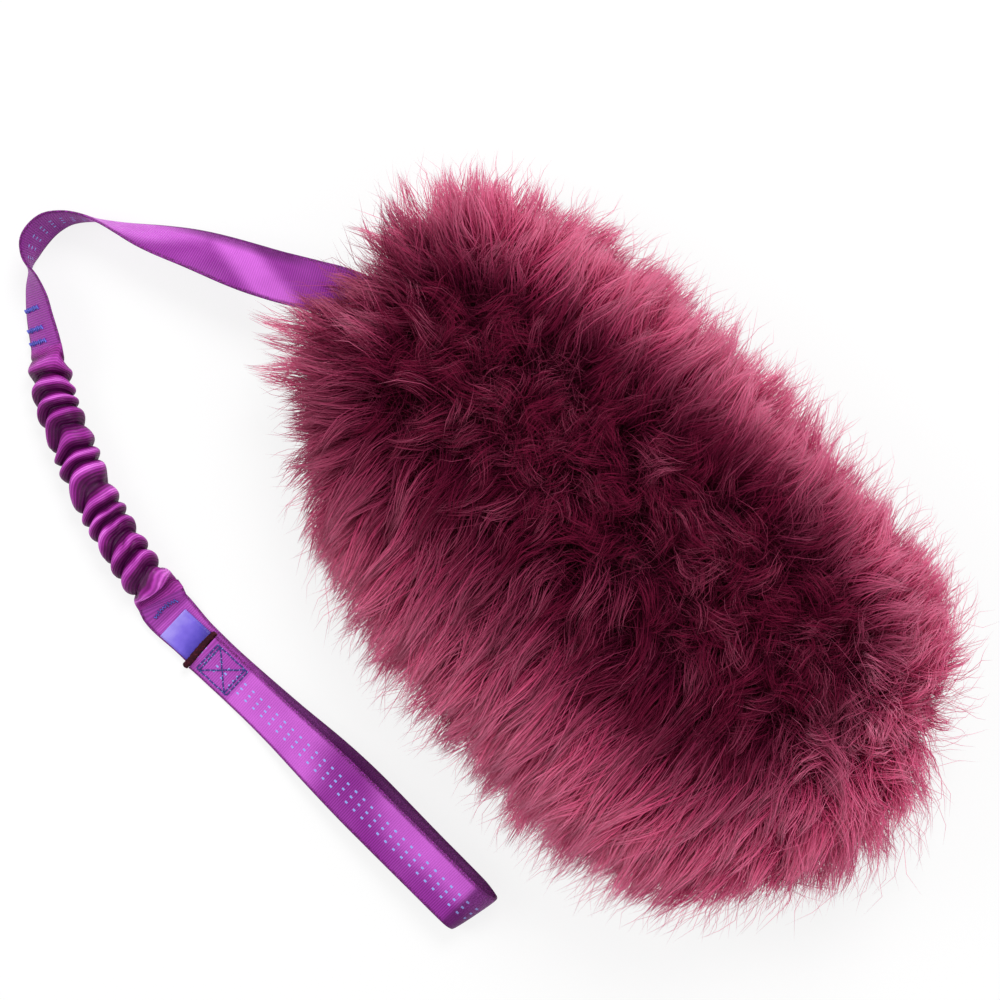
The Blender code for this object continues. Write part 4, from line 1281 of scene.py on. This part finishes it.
def apartFor(places, count):
    # of places too near each other only the first stays, so no bare patch is left between roots,
    # and the least distance widens until no more than count of them are left
    tree = kdtree.KDTree(len(places))
    for k, place in enumerate(places):
        tree.insert(place, k)
    tree.balance()
    apart = pile["leastApart"]
    while True:
        blocked = np.zeros(len(places), bool)
        left = []
        for k, place in enumerate(places):
            if blocked[k]:
                continue
            left.append(k)
            for _, other, _ in tree.find_range(place, apart):
                blocked[other] = True
        if len(left) <= count:
            return left
        apart *= pile["widening"]


def pileRoots(count, low, high, form=pile["bedForm"], evenly=True):
    # roots spread over the form between two heights on the ball, each with its normal
    around = unit(dice.normal(size=(count * 14, 3)))
    around = around[(around[:, 2] > low) & (around[:, 2] < high)]
    turnA = unit(np.cross(around, (0.3, 0.2, 0.93)))
    turnB = np.cross(around, turnA)
    here = formPoints(around, form)
    first, second = (formPoints(unit(around + turn * 0.01), form) - here for turn in (turnA, turnB))
    normal = np.cross(first, second)
    area = np.linalg.norm(normal, axis=1)
    normal = unit(normal)
    normal *= np.sign(np.sum(normal * around, axis=1, keepdims=True))
    chosen = dice.choice(len(around), min(count * 5, len(around) // 2), replace=False, p=area / area.sum())
    chosen = chosen[apartFor(here[chosen], count)] if evenly else chosen[:count]
    return here[chosen], normal[chosen]


def flowFrom(places):
    # the way the locks lie, away from the parting that runs along the top, and the distance from it
    u, v = toWool(places[:, 0], places[:, 1])
    alongPart = u - np.clip(u, pile["partFrom"], pile["partTo"])
    aside = v - pile["partAside"]
    distance = np.hypot(alongPart, aside)
    flow = np.stack((*toWorld(alongPart, aside), np.zeros(len(u))), axis=1)
    return flow / np.maximum(distance, 1 * mm)[:, None], distance


def swirl(places, scale, seed):
    # slow noise between -1 and 1 over the wool
    return np.array([noise.noise(Vector(place) / scale + Vector((seed, 7 * seed, 0))) for place in places])


def toneAt(places):
    # painted light and shade, with random mottles: 0 is painted shade deep in the parting, 1 painted
    # backlight out at the rim, and the near side is painted shadier
    u, v = toWool(places[:, 0], places[:, 1])
    v = v - pile["partAside"]
    lengths = np.where(u < 0, *pile["toneEnds"])
    widths = np.where(v > 0, pile["farFair"] * (wool["farHalfWidth"] - pile["partAside"]), pile["toneNear"])
    corner = np.where(v > 0, pile["farCorner"], pile["nearCorner"])
    out = (np.abs(u / lengths) ** corner + np.abs(v / widths) ** corner) ** (1 / corner)
    nearSide = softStep(-v / (60 * mm)) * softStep((70 * mm - u) / (80 * mm))
    dark = mix(*pile["dark"], nearSide)
    tone = softStep((out - dark) / (pile["light"] - dark)) * (1 - pile["nearPaintedShade"] * nearSide)
    for strength, size, seed in pile["mottles"]:
        tone = tone + strength * swirl(places, size, seed)
    return tone


def turned(vectors, angle):
    c, s = np.cos(angle), np.sin(angle)
    x, y, z = vectors.T
    return np.stack((x * c - y * s, x * s + y * c, z), axis=1)


def growLocks(roots, normals, lengths, curl, droop, stand):
    # the middle line of each lock, walked out from its root
    flow, distance = flowFrom(roots)
    twirl = pile["twirl"] - pile["twirlLost"] * softStep((distance - 35 * mm) / (45 * mm))
    scatter = dice.normal(scale=pile["scatter"], size=len(roots))
    flow = turned(flow, twirl * swirl(roots, 55 * mm, 3) + scatter)
    loose = 1 - softStep(distance / pile["looseWithin"])
    wander = turned(flow, dice.uniform(-math.pi, math.pi, len(roots)))
    flow = unit(flow * (1 - 0.8 * loose[:, None]) + wander * loose[:, None] * 0.9)
    side = np.cross(flow, (0, 0, 1))
    phase = dice.uniform(0, 2 * math.pi, len(roots))
    waves = dice.uniform(0.7, 1.5, len(roots))
    path = [roots]
    for k in range(pathSteps):
        s = (k + 0.5) / pathSteps
        upright = stand * (1 - s) ** 1.2
        way = normals * upright[:, None] + flow * (0.4 + 0.9 * s) * (1 - 0.55 * loose[:, None])
        way[:, 2] -= droop * (0.15 + 0.75 * s)
        bend = curl * np.cos(2 * math.pi * waves * s + phase) * (0.35 + 0.65 * s)
        way = unit(unit(way) + side * bend[:, None])
        path.append(path[-1] + way * (lengths / pathSteps)[:, None])
    return np.stack(path, axis=1), flow, loose


def cutBack(paths, share):
    return paths[:, :1] + (paths - paths[:, :1]) * share[:, None, None]


def fringeShare(paths, fringe, least):
    # the share of each strand that ends this far outside the outline, and the strands that pass it
    past, rootPast = pastOutline(paths[:, -1]), pastOutline(paths[:, 0])
    return np.clip((fringe - rootPast) / np.maximum(past - rootPast, 1 * mm), least, 1), past > fringe


def kept(paths):
    # strands that would pass the wool's outermost reach are drawn back towards their roots
    share = np.ones(len(paths))
    for way, corner in ((1, pile["highCorner"]), (-1, pile["lowCorner"])):
        room = np.maximum(way * (corner - paths[:, 0]), 1 * mm)
        reach = (way * (paths - paths[:, :1])).max(axis=1)
        share = np.minimum(share, (room / np.maximum(reach, room)).min(axis=1))
    paths = cutBack(paths, share)
    paths[:, :, 2] = np.maximum(paths[:, :, 2], pile["lowest"])
    return paths


def strandsOf(lockPaths, flow, loose, perLock, spans, further):
    # each lock's strands start apart and draw together into its tip
    locks = len(lockPaths)
    count = locks * perLock
    owner = np.repeat(np.arange(locks), perLock)
    side = np.cross(flow, (0, 0, 1))[owner]
    around = dice.uniform(0, 2 * math.pi, count)
    away = np.sqrt(dice.uniform(0, 1, count))
    offA, offB = (away * pile["lockRadius"] * turn(around) for turn in (np.cos, np.sin))
    stray = dice.uniform(size=count) < pile["strays"]
    length = dice.uniform(0.68, 1.0, count) - 0.12 * away
    length = np.where(stray, dice.uniform(0.8, 1.0, count), length)
    wobble = dice.normal(scale=1.0, size=(count, 2, 3)) * mm
    points = []
    for s in np.linspace(0, 1, spans + 1):
        at = s * length * pathSteps
        low = np.minimum(at.astype(int), pathSteps - 1)
        here, ahead = lockPaths[owner, low], lockPaths[owner, low + 1]
        share = (at - low)[:, None]
        gather = 1 - (0.78 - 0.42 * loose[owner]) * softStep((s - 0.2) / 0.8)
        gather = np.where(stray, 1 + 0.5 * s, gather)
        place = here * (1 - share) + ahead * share + side * (offA * gather)[:, None]
        place = place + np.cross(side, unit(ahead - here)) * (offB * gather)[:, None]
        place = place + wobble[:, 0] * math.sin(3.1 * s) * 1.1 + wobble[:, 1] * math.sin(6.3 * s) * 0.7
        points.append(place)
    paths = np.stack(points, axis=1)
    radii = pile["strandRadius"] * dice.uniform(0.7, 1.15, count)
    fringe = mix(*pile["fringe"], dice.uniform(size=locks)[owner] ** 1.7)
    fringe = fringe + fringeShift(paths[:, -1]) + further
    share, passing = fringeShare(paths, fringe, 0.1)
    share = np.where(passing, share * dice.uniform(0.74, 1.0, count), 1.0)
    return kept(cutBack(paths, share)), radii, owner


def woolLook():
    # across the bake map lie the tones of painted light and shade, and within each of them its hues
    look = Look("dyed_wool_strands", Roughness=0.7, Specular_IOR_Level=0.02)
    spot = look.node("ShaderNodeUVMap", {"uv_map": "OFBake"})
    across, along = spot.part(0), spot.part(1)
    toneStep = (across * toneSteps).floor()
    hue = ((across * (toneSteps * hueSteps)).floor() - toneStep * hueSteps) / (hueSteps - 1)
    # deep is the painted shade of the parting, fair the painted backlight of the rim; along each runs the
    # strand's colour from root to tip
    deep = look.ramp(along, {0.0: "24030f", 0.45: "430720", 1.0: "7c1b3b"})
    fair = look.ramp(along, {0.0: "72102f", 0.25: "ac2855", 0.5: "ce4a76", 0.75: "e67096", 1.0: "fb9fbb"})
    colour = look.mixed(toneStep / (toneSteps - 1), deep, fair)
    bluer = look.mixed(1.0, colour, (0.62, 0.5, 0.62), "MULTIPLY")
    return look.finished(look.mixed(hue * 0.3, colour, bluer))


strandLook = woolLook()


def strandPattern(spans):
    # one closed three-sided strand: a cone cut into spans
    form = bmesh.new()
    bmesh.ops.create_cone(form, cap_ends=True, segments=3, radius1=1, radius2=0, depth=1)
    bmesh.ops.translate(form, vec=(0, 0, 0.5), verts=form.verts)
    bmesh.ops.remove_doubles(form, verts=form.verts, dist=1e-5)
    for k in range(1, spans):
        everything = form.verts[:] + form.edges[:] + form.faces[:]
        level = (0, 0, k / spans)
        bmesh.ops.bisect_plane(form, geom=everything, dist=1e-6, plane_co=level, plane_no=(0, 0, 1))
    form.loops.layers.uv.new("OFBake")
    return meshFrom("strand", form)


def strandsPiece(name, paths, radii, tones, hues):
    # many strands as one mesh; paths has a place for every span's end, radii for every strand
    ends = paths.shape[1]
    pattern = strandPattern(ends - 1)
    template = np.array([vert.co for vert in pattern.vertices])
    level = np.rint(template[:, 2] * (ends - 1)).astype(int)
    angle = np.arctan2(template[:, 1], template[:, 0])
    holder = placed(name, pattern)
    holder.modifiers.new("many", "ARRAY").count = len(paths)
    mesh = shapedMesh(name, holder)
    holder.modifiers.clear()
    holder.data = mesh
    heading = unit(np.gradient(paths, axis=1))
    first = unit(np.cross(heading, (0.31, 0.22, 0.92)))
    second = np.cross(heading, first)
    # a strand thickens a little, and ends in a point
    taper = np.linspace(0, 1, ends)
    taper = 0.8 + 0.9 * taper * (1 - taper) - 0.2 * taper**3
    out = first[:, level] * np.cos(angle)[None, :, None] + second[:, level] * np.sin(angle)[None, :, None]
    spot = paths[:, level] + (radii[:, None] * taper)[:, level, None] * out
    spot[:, level == ends - 1] = paths[:, -1:]
    mesh.vertices.foreach_set("co", spot.astype(np.float32).ravel())
    corner = np.zeros(len(mesh.loops), dtype=np.int32)
    mesh.loops.foreach_get("vertex_index", corner)
    strand, vert = np.divmod(corner, len(template))
    column = np.rint(tones * (toneSteps - 1)) * hueSteps + np.rint(hues * (hueSteps - 1))
    across = (column[strand] + 0.5 + 0.25 * np.cos(angle[vert])) / (toneSteps * hueSteps)
    along = 0.02 + 0.96 * level[vert] / (ends - 1)
    places = np.stack((across, along), axis=1).astype(np.float32)
    mesh.uv_layers["OFBake"].data.foreach_set("uv", places.ravel())
    mesh.update()
    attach(dress(holder, strandLook, "dyed_wool"), "sheepskin")


def inPieces(name, most, *columns):
    count = len(columns[0])
    pieces = math.ceil(count / most)
    for k, rows in enumerate(np.array_split(np.arange(count), pieces), 1):
        strandsPiece("%s_%d" % (name, k), *(column[rows] for column in columns))
    print(name, count, "strands in", pieces, "pieces")


def growLockPieces(name, locks, perLock, spans, low, high, atMouth=False):
    # at the mouth only the locks rooted nearest to the leader grow, longer and fairer
    roots, normals = pileRoots(locks * (pile["mouthTries"] if atMouth else 1), low, high)
    if atMouth:
        nearest = np.argsort(np.linalg.norm(roots[:, :2] - np.array(mouth)[:2], axis=1))[:locks]
        roots, normals = roots[nearest], normals[nearest]
    outer = softStep((flowFrom(roots)[1] - pile["outerFrom"]) / pile["outerRun"])
    lengths = mix(pile["centreLength"], pile["slopeLength"], outer)
    lengths = lengths * dice.uniform(*pile["lengthSpread"], len(roots))
    curl = 0.16 + 0.24 * dice.uniform(size=len(roots)) + 0.4 * (1 - outer)
    stand = np.where(normals[:, 2] > 0.3, mix(1.5, 0.9, outer), 0.8)
    grown = growLocks(roots, normals, lengths, curl, 0.2 + 0.45 * outer, stand)
    further = pile["mouthFurther"] if atMouth else 0.0
    strands, radii, owner = strandsOf(*grown, perLock, spans, further)
    tone = toneAt(strands[:, spans // 2 + 1])
    tone = tone + dice.normal(scale=pile["lockTones"], size=len(roots))[owner]
    tone = np.clip(tone + dice.normal(scale=pile["strandTones"], size=len(owner)), 0, 1)
    if atMouth:
        tone = np.clip(tone + pile["mouthFairer"], 0, 1)
    hues = dice.uniform(size=len(roots))[owner] * 0.6 + dice.uniform(size=len(owner)) * 0.4
    inPieces(name, pile["most"], strands, radii, tone, hues)


def growWisps():
    # single thin fibres that stand out past the locks all round the rim
    roots, normals = pileRoots(pile["wisps"], -0.3, 0.55)
    count = len(roots)
    lengths = dice.uniform(*pile["wispLengths"], count) * mm
    curl = dice.uniform(*pile["wispCurls"], count)
    paths = growLocks(roots, normals, lengths, curl, 0.5, np.full(count, 0.9))[0]
    drift = np.linspace(0.2, 1, pathSteps + 1)[None, :, None]
    paths = paths + dice.normal(scale=pile["wispScatter"], size=(count, 1, 3)) * drift
    strands = paths[:, [0, 3, 6, 10, 13, 16]]
    fringe = dice.uniform(*pile["wispFringe"], count) * mm + 0.7 * fringeShift(strands[:, -1])
    strands = cutBack(strands, fringeShare(strands, fringe, 0.2)[0])
    tone = np.clip(toneAt(strands[:, 3]) + pile["wispFairer"], 0, 1)
    radii = pile["wispRadius"] * dice.uniform(0.7, 1.1, count)
    inPieces("wool_wisps", pile["mostFibres"], kept(strands), radii, tone, dice.uniform(size=count))


def growFuzz():
    # short curly fibres that tangle over the pile's surface, most of them in its dark middle
    roots, normals = pileRoots(pile["fuzz"], 0.05, 2, pile["fuzzForm"], evenly=False)
    count = len(roots)
    away = unit(np.cross(normals, dice.normal(size=normals.shape)))
    aside = np.cross(away, normals)
    lengths = dice.uniform(*pile["fuzzLengths"], count) * mm
    phase = dice.uniform(0, 2 * math.pi, (2, count))
    points = []
    for s in np.linspace(0, 1, 5):
        bow = np.sin(4.2 * s + phase[0]) * lengths * pile["fuzzBow"]
        rise = (s * pile["fuzzRise"] + 0.05 * np.sin(5 * s + phase[1])) * lengths
        points.append(roots + away * (s * lengths)[:, None] + aside * bow[:, None] + normals * rise[:, None])
    paths = kept(np.stack(points, axis=1))
    tone = np.clip(toneAt(paths[:, 3]) * 0.9 + dice.uniform(0, 0.38, count) ** 2, 0, 1)
    radii = pile["fuzzRadius"] * dice.uniform(0.7, 1.1, count)
    inPieces("wool_fuzz", pile["mostFibres"], paths, radii, tone, dice.uniform(size=count))


def woolBed():
    form = bmesh.new()
    bmesh.ops.create_icosphere(form, subdivisions=6, radius=1.0)
    around = unit(np.array([vert.co for vert in form.verts]))
    for vert, place, way in zip(form.verts, formPoints(around, pile["bedForm"]), around):
        lump = noise.fractal(Vector(place) / pile["bedLump"], 0.8, 2.2, 3)
        vert.co = Vector(place) + Vector(way) * lump * pile["bedRelief"] * mm
        vert.co.z = max(vert.co.z, pile["bedLowest"])
    bmesh.ops.recalc_face_normals(form, faces=form.faces)
    look = Look("dyed_wool_roots", Roughness=0.85, Specular_IOR_Level=0.05)
    spot = look.place()
    clump, fine = look.noise(spot, 90.0, 4.0), look.noise(spot, 700.0, 3.0)
    colour = look.ramp((clump * 0.6 + fine * 0.4).band(0.35, 0.7), {0.0: "20030d", 1.0: "4a0c26"})
    earthy = look.finished(colour, clump + fine * 0.5, 2 * mm, 0.9)
    bed = placed("wool_bed", meshFrom("wool_bed", form))
    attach(dress(bed, earthy, "dyed_wool", "wool_pile_upper", "wool_pile_lower"), "sheepskin")


woolBed()
for name, locks in pile["locks"].items():
    growLockPieces(name, *locks)
growLockPieces("wool_mouth", *pile["mouthLocks"], atMouth=True)
growWisps()
growFuzz()
print("wool grown")
